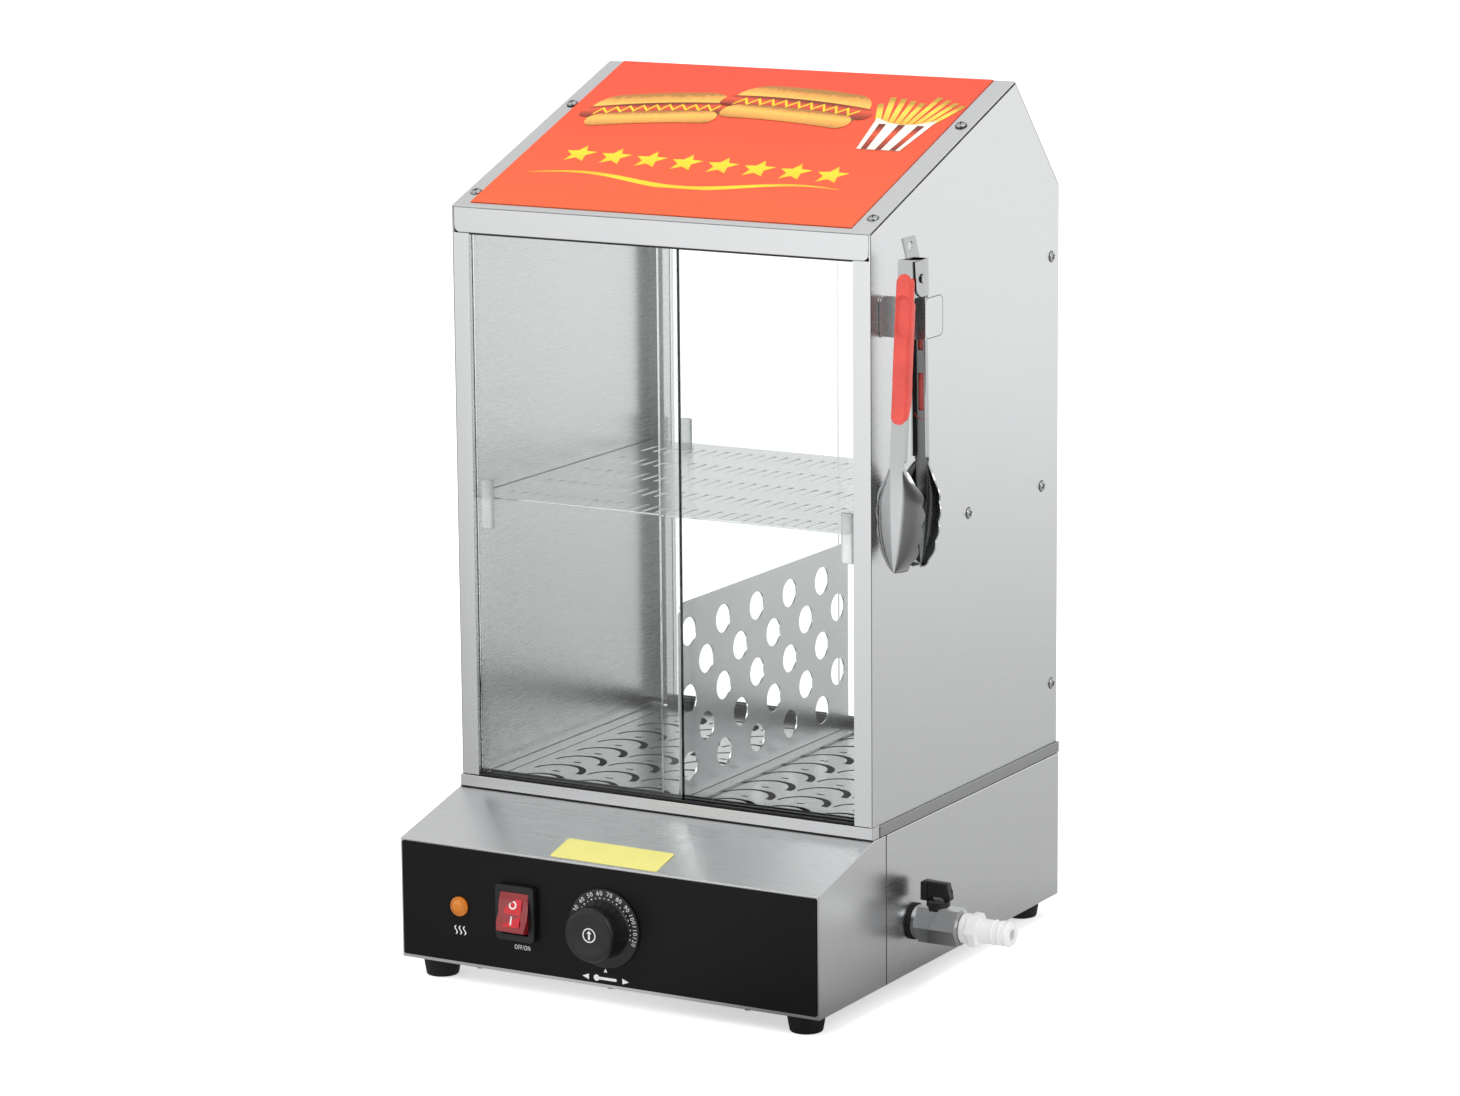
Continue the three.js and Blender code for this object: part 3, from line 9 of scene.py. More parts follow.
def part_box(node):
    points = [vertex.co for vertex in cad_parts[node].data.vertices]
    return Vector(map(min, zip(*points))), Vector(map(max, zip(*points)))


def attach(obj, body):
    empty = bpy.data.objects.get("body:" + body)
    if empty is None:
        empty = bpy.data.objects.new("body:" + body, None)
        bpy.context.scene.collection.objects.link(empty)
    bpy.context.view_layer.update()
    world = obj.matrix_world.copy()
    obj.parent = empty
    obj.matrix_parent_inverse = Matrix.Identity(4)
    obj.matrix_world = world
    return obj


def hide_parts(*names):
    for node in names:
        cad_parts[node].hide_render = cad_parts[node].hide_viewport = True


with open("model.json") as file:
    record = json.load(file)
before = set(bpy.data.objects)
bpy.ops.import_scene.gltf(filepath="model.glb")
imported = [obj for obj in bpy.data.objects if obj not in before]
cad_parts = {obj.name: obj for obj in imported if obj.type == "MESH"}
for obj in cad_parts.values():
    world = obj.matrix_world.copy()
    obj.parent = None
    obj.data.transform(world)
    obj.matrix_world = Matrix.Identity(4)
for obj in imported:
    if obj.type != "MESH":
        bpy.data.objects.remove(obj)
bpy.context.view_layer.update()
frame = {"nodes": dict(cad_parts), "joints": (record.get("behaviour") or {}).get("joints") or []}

bl_info = {
    "name": "Hot Dog Steamer",
    "version": (1, 0, 0),
    "blender": (4, 5, 0),
    "location": "View3D > Sidebar > Steamer",
    "description": "Dresses the packed steamer frame with detailed pieces, materials and a studio",
    "category": "Object",
}

MM = 0.001
# Patterns in a metre: marks as wide as a hand, wear from handling, haze on glass and unevenness of ink
HAND_MARKS, HANDLING_WEAR, GLASS_HAZE, INK_SPREAD = 9, 70, 14, 30
# The lathe's marks in a metre: close together along X and long across it
TURNING_MARKS = (1500, 90, 90)


# ---- sizes and colours that a user would change ----


def length(label, text, value):
    return bpy.props.FloatProperty(name=label, description=text, default=value, min=0.0, unit="LENGTH")


def colour(label, text, value):
    return bpy.props.StringProperty(name=label, description=text + ", as sRGB hex", default=value)


class SteamerSizes(bpy.types.PropertyGroup):
    """Sizes of the detail that the CAD frame leaves to this script"""

    sheet_bevel: length("Sheet edge", "Rounding of folded and cut sheet edges", 0.45 * MM)
    screw_head: length("Screw head", "Diameter of the pan heads", 7.4 * MM)
    screw_rise: length("Screw rise", "Height of the pan heads", 1.8 * MM)
    brush_width: length("Brush line width", "Width of one brushed line, coarser than a real one to show",
                        0.5 * MM)
    brush_length: length("Brush line length", "Length of one brushed line", 60 * MM)


class SteamerColours(bpy.types.PropertyGroup):
    """Colours of the finishes"""

    steel: colour("Steel", "Brushed stainless steel", "#E3E4E5")
    inner_steel: colour("Inner steel", "Duller stainless steel inside the cabinet", "#DFE0E1")
    rim: colour("Rim", "Stainless rim under the side panels, in their shade", "#AEAFB0")
    chrome: colour("Chrome", "Polished plating", "#BEBFC0")
    # The tank's near black colour is painted shade for its unlit inside, seen through the trays' cuts
    tank: colour("Tank", "Stained stainless steel of the water tank", "#3C3D3E")
    glass: colour("Glass", "Slight green of float glass", "#FCFEFD")
    overlay: colour("Overlay", "Black control film", "#101010")
    black_plastic: colour("Black plastic", "Moulded switch, dial and tracks", "#1A1A1B")
    rubber: colour("Rubber", "Feet and gasket", "#141414")
    rocker: colour("Rocker", "Red switch plastic", "#A8121C")
    lamp: colour("Lamp", "Amber lens", "#F28C0A")
    grip: colour("Grip", "Coral tong grips", "#E4554B")
    sticker: colour("Sticker", "Yellow coated paper", "#F8F08C")
    nylon: colour("Nylon", "White drain tail", "#FCFCFB")
    print_red: colour("Print red", "Upper colour of the roof print", "#EA4B2D")
    print_orange: colour("Print orange", "Lower colour of the roof print", "#EE5F2C")
    bun: colour("Bun", "Printed buns", "#E9A34A")
    sausage: colour("Sausage", "Printed sausages", "#A63A1E")
    mustard: colour("Mustard", "Printed mustard, stars and wave", "#FFD21F")
    leaf: colour("Leaf", "Printed salad", "#5E9B2C")


# ---- small helpers ----


def linear(text):
    """The linear colour of an sRGB hex value."""
    channels = [int(text[i:i + 2], 16) / 255 for i in (1, 3, 5)]
    return tuple(c / 12.92 if c <= 0.04045 else ((c + 0.055) / 1.055) ** 2.4 for c in channels) + (1.0,)


def tint(text, share):
    """A hex colour made darker (share under 1) or lighter (over 1)."""
    red, green, blue, _ = linear(text)
    return (min(red * share, 1), min(green * share, 1), min(blue * share, 1), 1.0)


def add_node(tree, kind, links=None, inputs=None, stops=None, feeds=None, **settings):
    """Adds a node with its settings, values, ramp stops and links. Its first output feeds a socket."""
    node = tree.nodes.new("ShaderNode" + kind)
    for key, value in settings.items():
        setattr(node, key, value)
    for key, value in (inputs or {}).items():
        node.inputs[key].default_value = value
    for key, socket in (links or {}).items():
        tree.links.new(socket, node.inputs[key])
    if stops:
        ramp = node.color_ramp
        while len(ramp.elements) < len(stops):
            ramp.elements.new(0.5)
        for element, (position, value) in zip(ramp.elements, stops):
            element.position = position
            element.color = value if len(value) == 4 else (*value, 1.0)
    if feeds:
        tree.links.new(node.outputs[0], feeds)
    return node


def blank_material(name, **sockets):
    """A material with its principled shader's own sockets set."""
    material = bpy.data.materials.new(name)
    material.use_nodes = True
    tree = material.node_tree
    shader = tree.nodes["Principled BSDF"]
    for key, value in sockets.items():
        shader.inputs[key.replace("_", " ")].default_value = value
    return material, tree, shader


def object_noise(tree, scale, detail, roughness=0.5):
    """Noise in object coordinates. Its scale is in patterns per metre, along each axis or all three."""
    place = add_node(tree, "TexCoord")
    stretched = add_node(tree, "Mapping", links={"Vector": place.outputs["Object"]},
                         inputs={"Scale": scale if isinstance(scale, tuple) else (scale,) * 3})
    return add_node(tree, "TexNoise", links={"Vector": stretched.outputs["Vector"]},
                    inputs={"Scale": 1.0, "Detail": detail, "Roughness": roughness}).outputs["Fac"]


def mm(points):
    """Points given in millimetres."""
    return [(x * MM, y * MM) for x, y in points]


def box(name):
    """A CAD node's two corners and its middle."""
    low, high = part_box(name)
    return low, high, (low + high) / 2


def matrix(*rows):
    return Matrix((*rows, (0, 0, 0, 1)))


def at(x, y, z):
    return Matrix.Translation((x, y, z))


def on_front(x, y, z):
    """Local X right, local Y up and local Z towards the viewer, on a face that looks along -Y."""
    return matrix((1, 0, 0, x), (0, 0, -1, y), (0, 1, 0, z))


def on_right(x, y, z):
    """Local X to the back, local Y up and local Z outwards, on a face that looks along +X."""
    return matrix((0, 0, 1, x), (1, 0, 0, y), (0, 1, 0, z))


def on_left(x, y, z):
    """Local X to the front, local Y up and local Z outwards, on a face that looks along -X."""
    return matrix((0, 0, -1, x), (-1, 0, 0, y), (0, 1, 0, z))


def on_slope(low, high, spot, lift):
    """Local X right, local Y up the slope between two corners and local Z away from it, over a spot."""
    along = Vector((0, high.y - low.y, high.z - low.z)).normalized()
    normal = Vector((0, -along.z, along.y))
    origin = spot + normal * lift
    return matrix((1, 0, 0, origin.x), (0, along.y, normal.y, origin.y), (0, along.z, normal.z, origin.z))


def put(name, data):
    """A new object in the scene."""
    thing = bpy.data.objects.new(name, data)
    bpy.context.scene.collection.objects.link(thing)
    return thing


def keep(name, bm, material, body, slot, stands_for=(), sharp=32):
    """Makes a piece of a bmesh, shades it, gives it its material and fixes it to its CAD body."""
    bmesh.ops.remove_doubles(bm, verts=bm.verts, dist=1e-6)
    bmesh.ops.recalc_face_normals(bm, faces=bm.faces)
    mesh = bpy.data.meshes.new(name)
    bm.to_mesh(mesh)
    bm.free()
    mesh.polygons.foreach_set("use_smooth", [True] * len(mesh.polygons))
    mesh.set_sharp_from_angle(angle=radians(sharp))
    for finish in material if isinstance(material, tuple) else (material,):
        mesh.materials.append(finish)
    piece = put(name, mesh)
    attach(piece, body)
    if stands_for:
        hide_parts(*stands_for)
    return piece


def merged(*parts):
    """One bmesh that holds several."""
    whole = bmesh.new()
    for part in parts:
        mesh = bpy.data.meshes.new("part")
        part.to_mesh(mesh)
        part.free()
        whole.from_mesh(mesh)
        bpy.data.meshes.remove(mesh)
    return whole


def turned(profile, place, steps=48, closed=False):
    """Spins a profile of (radius, height) round local Z. A closed profile makes a ring."""
    bm = bmesh.new()
    verts = [bm.verts.new((radius, 0, height)) for radius, height in profile]
    pairs = list(zip(verts, verts[1:])) + ([(verts[-1], verts[0])] if closed else [])
    edges = [bm.edges.new(pair) for pair in pairs]
    bmesh.ops.spin(bm, geom=verts + edges, cent=(0, 0, 0), axis=(0, 0, 1), dvec=(0, 0, 0),
                   angle=2 * pi, steps=steps, use_merge=True, use_duplicate=False)
    bmesh.ops.remove_doubles(bm, verts=bm.verts, dist=1e-7)
    bmesh.ops.recalc_face_normals(bm, faces=bm.faces)
    bm.transform(place)
    return bm


def round_edges(bm, width, segments=2, angle=30):
    """Rounds every edge sharper than the angle."""
    edges = [e for e in bm.edges if e.is_manifold and e.calc_face_angle(0) > radians(angle)]
    bmesh.ops.bevel(bm, geom=edges, offset=width, segments=segments, profile=0.5, affect="EDGES",
                    material=-1, clamp_overlap=True)


def prism(outline, depth, place=Matrix(), bevel=0.0, segments=2):
    """Extrudes an outline in local XY along local Z, with rounded edges."""
    bm = bmesh.new()
    face = bm.faces.new([bm.verts.new((x, y, 0)) for x, y in outline])
    raised = bmesh.ops.extrude_face_region(bm, geom=[face])["geom"]
    moved = [part for part in raised if isinstance(part, bmesh.types.BMVert)]
    bmesh.ops.translate(bm, vec=(0, 0, depth), verts=moved)
    bmesh.ops.recalc_face_normals(bm, faces=bm.faces)
    if bevel:
        round_edges(bm, bevel, segments)
    bm.transform(place)
    return bm


def hexagon(radius, start, depth, place, edge, segments=2):
    """A hexagonal collar whose sizes are in millimetres, from a start along local Z."""
    bm = prism(ring(radius * MM, 6), depth * MM, place @ at(0, 0, start * MM))
    round_edges(bm, edge * MM, segments)
    return bm


def block(low, high, bevel=0.0, segments=2):
    """A box between two corners, with rounded edges."""
    bm = bmesh.new()
    bmesh.ops.create_cube(bm, size=1)
    low, high = Vector(low), Vector(high)
    bmesh.ops.scale(bm, vec=high - low, verts=bm.verts)
    bmesh.ops.translate(bm, vec=(low + high) / 2, verts=bm.verts)
    if bevel:
        round_edges(bm, bevel, segments)
    return bm


def rounded(width, height, radius, steps=6):
    """A centred rectangle with round corners, as an outline."""
    points = []
    for index, (sx, sy) in enumerate(((1, -1), (1, 1), (-1, 1), (-1, -1))):
        for step in range(steps + 1):
            angle = radians(-90 + 90 * index + 90 * step / steps)
            points.append((sx * (width / 2 - radius) + radius * cos(angle),
                           sy * (height / 2 - radius) + radius * sin(angle)))
    return points


def ring(radius, sides, centre=(0, 0)):
    angles = [2 * pi * i / sides for i in range(sides)]
    return [(centre[0] + radius * cos(a), centre[1] + radius * sin(a)) for a in angles]


def pierced(outline, holes, thickness, place, bevel=0.0):
    """A flat sheet with holes: a filled flat curve, made a mesh and then placed."""
    curve = bpy.data.curves.new("sheet", "CURVE")
    curve.dimensions = "2D"
    curve.fill_mode = "BOTH"
    curve.extrude = thickness / 2 - bevel
    curve.bevel_depth = bevel
    curve.bevel_resolution = 1
    for points in (outline, *holes):
        spline = curve.splines.new("POLY")
        spline.points.add(len(points) - 1)
        spline.points.foreach_set("co", [c for x, y in points for c in (x, y, 0, 1)])
        spline.use_cyclic_u = True
    return curve_mesh(curve, place)


def lettering(text, size, thickness, place):
    """Numbers or a switch word as a thin raised print."""
    curve = bpy.data.curves.new("print", "FONT")
    curve.body = text
    curve.size = size
    curve.extrude = thickness / 2
    curve.space_character = 1.2
    curve.align_x = "CENTER"
    curve.align_y = "CENTER"
    return curve_mesh(curve, place)


def curve_mesh(curve, place):
    carrier = put("carrier", curve)
    bpy.context.view_layer.update()
    depsgraph = bpy.context.evaluated_depsgraph_get()
    mesh = bpy.data.meshes.new_from_object(carrier.evaluated_get(depsgraph))
    bm = bmesh.new()
    bm.from_mesh(mesh)
    bm.transform(place)
    bpy.data.objects.remove(carrier)
    bpy.data.meshes.remove(mesh)
    bpy.data.curves.remove(curve)
    return bm


def bent_sheet(rows, columns, shape, thickness, open_at=None):
    """A sheet bent from a flat grid: shape places its -Y side's points, and open_at leaves faces out.

    The other side takes the second material.
    """
    bm = bmesh.new()
    bmesh.ops.create_grid(bm, x_segments=columns, y_segments=rows, size=1)
    for vert in bm.verts:
        vert.co = shape((vert.co.x + 1) / 2, (vert.co.y + 1) / 2)
    if open_at:
        left_out = [face for face in bm.faces if open_at(face.calc_center_median())]
        bmesh.ops.delete(bm, geom=left_out, context="FACES")
    bmesh.ops.recalc_face_normals(bm, faces=bm.faces)
    if sum(face.normal.y * face.calc_area() for face in bm.faces) > 0:
        bmesh.ops.reverse_faces(bm, faces=bm.faces)
    outer = set(bm.verts)
    bmesh.ops.solidify(bm, geom=bm.faces[:], thickness=thickness)
    for face in bm.faces:
        face.material_index = 0 if any(vert in outer for vert in face.verts) else 1
    bmesh.ops.recalc_face_normals(bm, faces=bm.faces)
    return bm


def repaint(names, material):
    """Gives CAD nodes a material."""
    for name in names:
        node = frame["nodes"][name]
        node.data.materials.clear()
        node.data.materials.append(material)


def soften(names, width, segments=2):
    """Welds a CAD node's loose triangles and rounds its edges, as modifiers."""
    for name in names:
        node = frame["nodes"][name]
        weld = node.modifiers.new("Weld", "WELD")
        weld.merge_threshold = 1e-5
        bevel = node.modifiers.new("Edge", "BEVEL")
        bevel.width = width
        bevel.segments = segments
        bevel.limit_method = "ANGLE"
        bevel.angle_limit = radians(30)
        # Large faces rule the shading, so a flat sheet stays flat next to a shallow fold
        weighted = node.modifiers.new("Flat", "WEIGHTED_NORMAL")
        weighted.weight = 90


# ---- materials ----


def brushed_steel(name, hex_colour, grain, low, high):
    """Belt-brushed stainless sheet, or drawn tube: long fine streaks give a soft stretched sheen."""
    material, tree, shader = blank_material(name, Metallic=1.0)
    sizes = bpy.context.scene.steamer_sizes
    across, along = 1 / sizes.brush_width, 1 / sizes.brush_length
    streaks = object_noise(tree, tuple(along if axis == grain else across for axis in "XYZ"), 3.0, 0.6)
    # Slow changes of sheen, as handling and cleaning leave
    cloud = object_noise(tree, HAND_MARKS, 2.0)
    both = add_node(tree, "Mix", data_type="FLOAT", inputs={"Factor": 0.35},
                    links={"A": streaks, "B": cloud})
    add_node(tree, "MapRange", links={"Value": both.outputs["Result"]},
             inputs={"To Min": low, "To Max": high}, feeds=shader.inputs["Roughness"])
    add_node(tree, "ValToRGB", links={"Fac": streaks}, feeds=shader.inputs["Base Color"],
             stops=[(0.3, tint(hex_colour, 0.97)), (0.7, tint(hex_colour, 1.02))])
    add_node(tree, "Bump", links={"Height": streaks}, inputs={"Strength": 0.03, "Distance": 0.01 * MM},
             feeds=shader.inputs["Normal"])
    return material


def plated_brass(name, hex_colour):
    """Turned and plated metal: mirror bright with faint turning marks."""
    material, tree, shader = blank_material(name, Metallic=1.0, Base_Color=linear(hex_colour))
    marks = object_noise(tree, TURNING_MARKS, 2.0)
    add_node(tree, "MapRange", links={"Value": marks}, inputs={"To Min": 0.06, "To Max": 0.2},
             feeds=shader.inputs["Roughness"])
    add_node(tree, "Bump", links={"Height": marks}, inputs={"Strength": 0.05, "Distance": 0.02 * MM},
             feeds=shader.inputs["Normal"])
    return material


def moulded_plastic(name, hex_colour, low, high, grain_mm, bump, uneven=0.09, **sockets):
    """Injection moulded plastic: an even fine texture that breaks up the sheen."""
    material, tree, shader = blank_material(name, **sockets)
    wear = object_noise(tree, HANDLING_WEAR, 3.0)
    add_node(tree, "MapRange", links={"Value": wear}, inputs={"To Min": low, "To Max": high},
             feeds=shader.inputs["Roughness"])
    add_node(tree, "ValToRGB", links={"Fac": wear}, feeds=shader.inputs["Base Color"],
             stops=[(0.3, tint(hex_colour, 1 - uneven)), (0.7, tint(hex_colour, 1 + uneven))])
    grain = object_noise(tree, 1 / (grain_mm * MM), 2.0)
    add_node(tree, "Bump", links={"Height": grain}, inputs={"Strength": bump, "Distance": 0.05 * MM},
             feeds=shader.inputs["Normal"])
    return material


def float_glass(name, hex_colour):
    """Float glass, 4 mm, ground edges: clear with a breath of green, and it lets lamp light through."""
    material, tree, shader = blank_material(name, Base_Color=linear(hex_colour), IOR=1.5,
                                            Transmission_Weight=1.0)
    haze = object_noise(tree, GLASS_HAZE, 3.0)
    add_node(tree, "MapRange", links={"Value": haze}, inputs={"To Min": 0.0, "To Max": 0.03},
             feeds=shader.inputs["Roughness"])
    clear = add_node(tree, "BsdfTransparent", inputs={"Color": linear("#F6FAF9")})
    ray = add_node(tree, "LightPath")
    add_node(tree, "MixShader", feeds=tree.nodes["Material Output"].inputs["Surface"], links={
        0: ray.outputs["Is Shadow Ray"], 1: shader.outputs["BSDF"], 2: clear.outputs["BSDF"]})
    return material


def printed_film(name, stops, axis, start, end):
    """Printed vinyl under a gloss film: colour runs evenly from one edge to the other."""
    material, tree, shader = blank_material(name, Roughness=0.4, Specular_IOR_Level=0.35)
    place = add_node(tree, "TexCoord")
    parts = add_node(tree, "SeparateXYZ", links={"Vector": place.outputs["Object"]})
    run = add_node(tree, "MapRange", links={"Value": parts.outputs[axis]},
                   inputs={"From Min": start, "From Max": end})
    ink = object_noise(tree, INK_SPREAD, 4.0)
    uneven = add_node(tree, "Math", operation="MULTIPLY_ADD", use_clamp=True,
                      links={0: ink, 2: run.outputs["Result"]}, inputs={1: 0.12})
    add_node(tree, "ValToRGB", links={"Fac": uneven.outputs["Value"]}, stops=stops,
             feeds=shader.inputs["Base Color"])
    return material


def printed_food(name, hex_colour, dark, light, grain_mm):
    """A printed food shape: its UV runs 0 to 1 across it, dark at the rims and light along the crown."""
    material, tree, shader = blank_material(name, Roughness=0.4, Specular_IOR_Level=0.35)
    place = add_node(tree, "UVMap", uv_map="across")
    parts = add_node(tree, "SeparateXYZ", links={"Vector": place.outputs["UV"]})
    crumb = object_noise(tree, 1 / (grain_mm * MM), 3.0)
    mixed = add_node(tree, "Math", operation="MULTIPLY_ADD", use_clamp=True,
                     links={0: crumb, 2: parts.outputs["Y"]}, inputs={1: 0.22})
    rim, plain, crown = tint(hex_colour, dark), linear(hex_colour), tint(hex_colour, light)
    add_node(tree, "ValToRGB", links={"Fac": mixed.outputs["Value"]}, feeds=shader.inputs["Base Color"],
             stops=[(0.08, rim), (0.35, plain), (0.72, crown), (0.9, plain), (1.0, rim)])
    return material


# ---- one operator for each piece or group of like pieces ----


class STEAMER_OT_sheet_metal(bpy.types.Operator):
    """Brushes the sheet metal and softens its edges"""

    bl_idname = "steamer.sheet_metal"
    bl_label = "Sheet metal"

    def execute(self, context):
        colours = context.scene.steamer_colours
        sheet_edge = context.scene.steamer_sizes.sheet_bevel
        fronts = ["control_housing", "front_sill", "front_header", "roof_panel_front", "roof_panel_rear"]
        sides = ["base_body", "left_side_panel", "right_side_panel"]
        repaint([*fronts, "bottom_plate", "thermostat_body", "thermostat_shaft"],
                brushed_steel("stainless_brushed_across", colours.steel, "X", 0.24, 0.32))
        repaint([*sides, "tong_bracket", "tong_pull_tab"],
                brushed_steel("stainless_brushed_deep", colours.steel, "Y", 0.23, 0.31))
        repaint(["deck_frame", "left_shelf_rail", "right_shelf_rail", "drain_spout"],
                brushed_steel("stainless_dull", colours.inner_steel, "Y", 0.22, 0.3))
        # The tank's steel is darkened as painted shade for its unlit inside
        repaint(["water_tank"], brushed_steel("stainless_tank_painted_shade", colours.tank, "Y", 0.3, 0.5))
        # The rim's darker steel is painted shade under the side panels
        repaint(["side_rim"], brushed_steel("stainless_rim_painted_shade", colours.rim, "Y", 0.25, 0.35))
        soften([*fronts, *sides, "side_rim", "deck_frame"], sheet_edge)
        soften(["tong_bracket"], 0.5 * MM)
        soften(["tong_pull_tab"], 0.25 * MM)
        return {"FINISHED"}


class STEAMER_OT_inner_sheets(bpy.types.Operator):
    """Builds the bun shelf, the divider and the food trays as thin pierced sheets"""

    bl_idname = "steamer.inner_sheets"
    bl_label = "Shelf, divider and trays"

    def execute(self, context):
        colours = context.scene.steamer_colours
        dull = brushed_steel("stainless_divider", colours.inner_steel, "Y", 0.22, 0.3)
        self.shelf(brushed_steel("stainless_shelf", colours.steel, "X", 0.16, 0.28))
        self.divider(dull)
        for side in ("left", "right"):
            self.tray(side, dull)
        return {"FINISHED"}

    def shelf(self, steel):
        """Five rows of long slots across the shelf."""
        low, high, centre = box("bun_shelf")
        slots = []
        for row in range(5):
            y = low.y - centre.y + (15.1 + row * 48.8) * MM
            for column in range(30):
                x = (column - 14.5) * 9.7 * MM
                slot = rounded(2.8 * MM, 24.5 * MM, 1.39 * MM, steps=3)
                slots.append([(x + px, y + py) for px, py in slot])
        shelf = pierced(rounded(high.x - low.x, high.y - low.y, 1.5 * MM), slots, high.z - low.z,
                        Matrix.Translation(centre), 0.1 * MM)
        keep("shelf_sheet", shelf, steel, "shelf", "sheet_steel", ["bun_shelf"], 20)

    def divider(self, steel):
        """A plate with staggered rows of round holes and round upper corners, on a flat foot."""
        low, high, centre = box("tray_divider")
        holes = []
        for row in range(5):
            shift = 0 if row % 2 == 0 else 23.35
            for column in range(5):
                y = low.y - centre.y + (12.1 + shift + column * 46.7) * MM
                z = high.z - (21.2 + row * 23.4) * MM - low.z
                holes.append(ring(10 * MM, 40, centre=(y, z)))
        half, tall, corner = (high.y - low.y) / 2, high.z - low.z, 9 * MM
        outline = [(-half, 0), (half, 0)]
        for side, start in ((1, 0), (-1, 1)):
            for step in range(9):
                angle = pi / 2 * (start + step / 8)
                outline.append((side * (half - corner) + corner * cos(angle),
                                tall - corner + corner * sin(angle)))
        plate = pierced(outline, holes, 1 * MM, on_right(low.x + 0.5 * MM, centre.y, low.z), 0.1 * MM)
        foot = block(low, (high.x, high.y, low.z + 1 * MM), 0.2 * MM)
        keep("divider_sheet", merged(plate, foot), steel, "divider", "sheet_steel", ["tray_divider"], 20)

    def tray(self, side, steel):
        """A thin tray sheet with its edges folded down."""
        low, high, middle = box(f"{side}_food_tray")
        size = high - low
        cuts = []
        for column in range(3):
            for row in range(8):
                x = low.x - middle.x + (29.4 + column * 43) * MM
                y = low.y - middle.y + (5 + row * 28.1) * MM
                cuts.append([(x + px, y + py) for px, py in rounded(6.4 * MM, 2.8 * MM, 1.3 * MM, steps=2)])
                cuts.append(self.crescent(x, y))
        thin = 0.5 * MM
        outline = rounded(size.x, size.y, 2 * MM)
        sheet = pierced(outline, cuts, thin,
                        at(middle.x, middle.y, high.z - thin / 2), 0.05 * MM)
        fold = pierced(outline, [rounded(size.x - 1.6 * MM, size.y - 1.6 * MM, 1.2 * MM)], size.z - thin,
                       at(middle.x, middle.y, low.z + (size.z - thin) / 2))
        keep(f"{side}_tray_sheet", merged(sheet, fold), steel, f"{side}_tray", "sheet_steel",
             [f"{side}_food_tray"], 20)

    def crescent(self, x, y):
        """A cut that swells from a thin tip at the left to a blunt end at the right."""
        outer, inner = [], []
        for step in range(16):
            angle = radians(175 - 179 * step / 15)
            half = 1.1 + 1.8 * step / 15
            for side, points in ((1, outer), (-1, inner)):
                radius = (18.5 + side * half) * MM
                points.append((x + radius * cos(angle), y + radius * sin(angle)))
        return outer + inner[::-1]


class STEAMER_OT_glass_doors(bpy.types.Operator):
    """Glazes the sliding doors, builds their finger pulls and finishes their tracks"""

    bl_idname = "steamer.glass_doors"
    bl_label = "Glass doors"

    def execute(self, context):
        colours = context.scene.steamer_colours
        glass = float_glass("float_glass", colours.glass)
        clear = moulded_plastic("clear_acrylic_moulded", "#F4F7F6", 0.08, 0.2, 0.8, 0.05,
                                IOR=1.49, Transmission_Weight=0.7)
        black = moulded_plastic("black_track_extruded", colours.black_plastic, 0.35, 0.5, 0.5, 0.1)
        for face in ("front", "rear"):
            repaint([f"{face}_lower_track", f"{face}_upper_track"], black)
            soften([f"{face}_lower_track", f"{face}_upper_track"], 0.25 * MM)
            for side in ("left", "right"):
                door = f"{face}_{side}_door"
                repaint([f"{door}_glass"], glass)
                soften([f"{door}_glass"], 0.5 * MM, 1)
                self.finger_pull(door, clear, 1 if face == "front" else -1)
        return {"FINISHED"}

    def finger_pull(self, door, material, facing):
        """A clear grip that is flat where it is glued on and round on its other side."""
        low, high, middle = box(f"{door}_pull")
        half, deep = (high.x - low.x) / 2, high.y - low.y
        outline = [(half, 0)]
        for step in range(21):
            angle = pi * step / 20
            outline.append((half * cos(angle), -facing * deep * (0.3 + 0.7 * sin(angle))))
        glued = high.y if facing > 0 else low.y
        pull = prism([*outline, (-half, 0)], high.z - low.z, at(middle.x, glued, low.z))
        round_edges(pull, 0.6 * MM, 3, 50)
        keep(f"{door}_grip", pull, material, door, "clear_plastic", [f"{door}_pull"])


class STEAMER_OT_feet(bpy.types.Operator):
    """Turns the rubber feet"""

    bl_idname = "steamer.feet"
    bl_label = "Feet"

    def execute(self, context):
        rubber = moulded_plastic("nitrile_rubber_moulded", context.scene.steamer_colours.rubber,
                                 0.55, 0.75, 0.6, 0.25)
        repaint(["valve_gasket"], rubber)
        for name in ("foot_front_left", "foot_front_right", "foot_rear_left", "foot_rear_right"):
            low, _, middle = box(name)
            place = at(middle.x, middle.y, low.z)
            profile = mm((
                (0, 1.6), (4.4, 1.6), (4.8, 0.2), (5.2, 0), (9.9, 0), (10.8, 0.3), (11.2, 1), (12.3, 7),
                (13, 12.4), (12.8, 13.3), (12.2, 13.7), (2.4, 13.7), (2.4, 20.2), (1.9, 20.7), (0, 20.7)))
            keep(name + "_rubber", turned(profile, place), rubber, "cabinet", "black_rubber", [name])
        return {"FINISHED"}


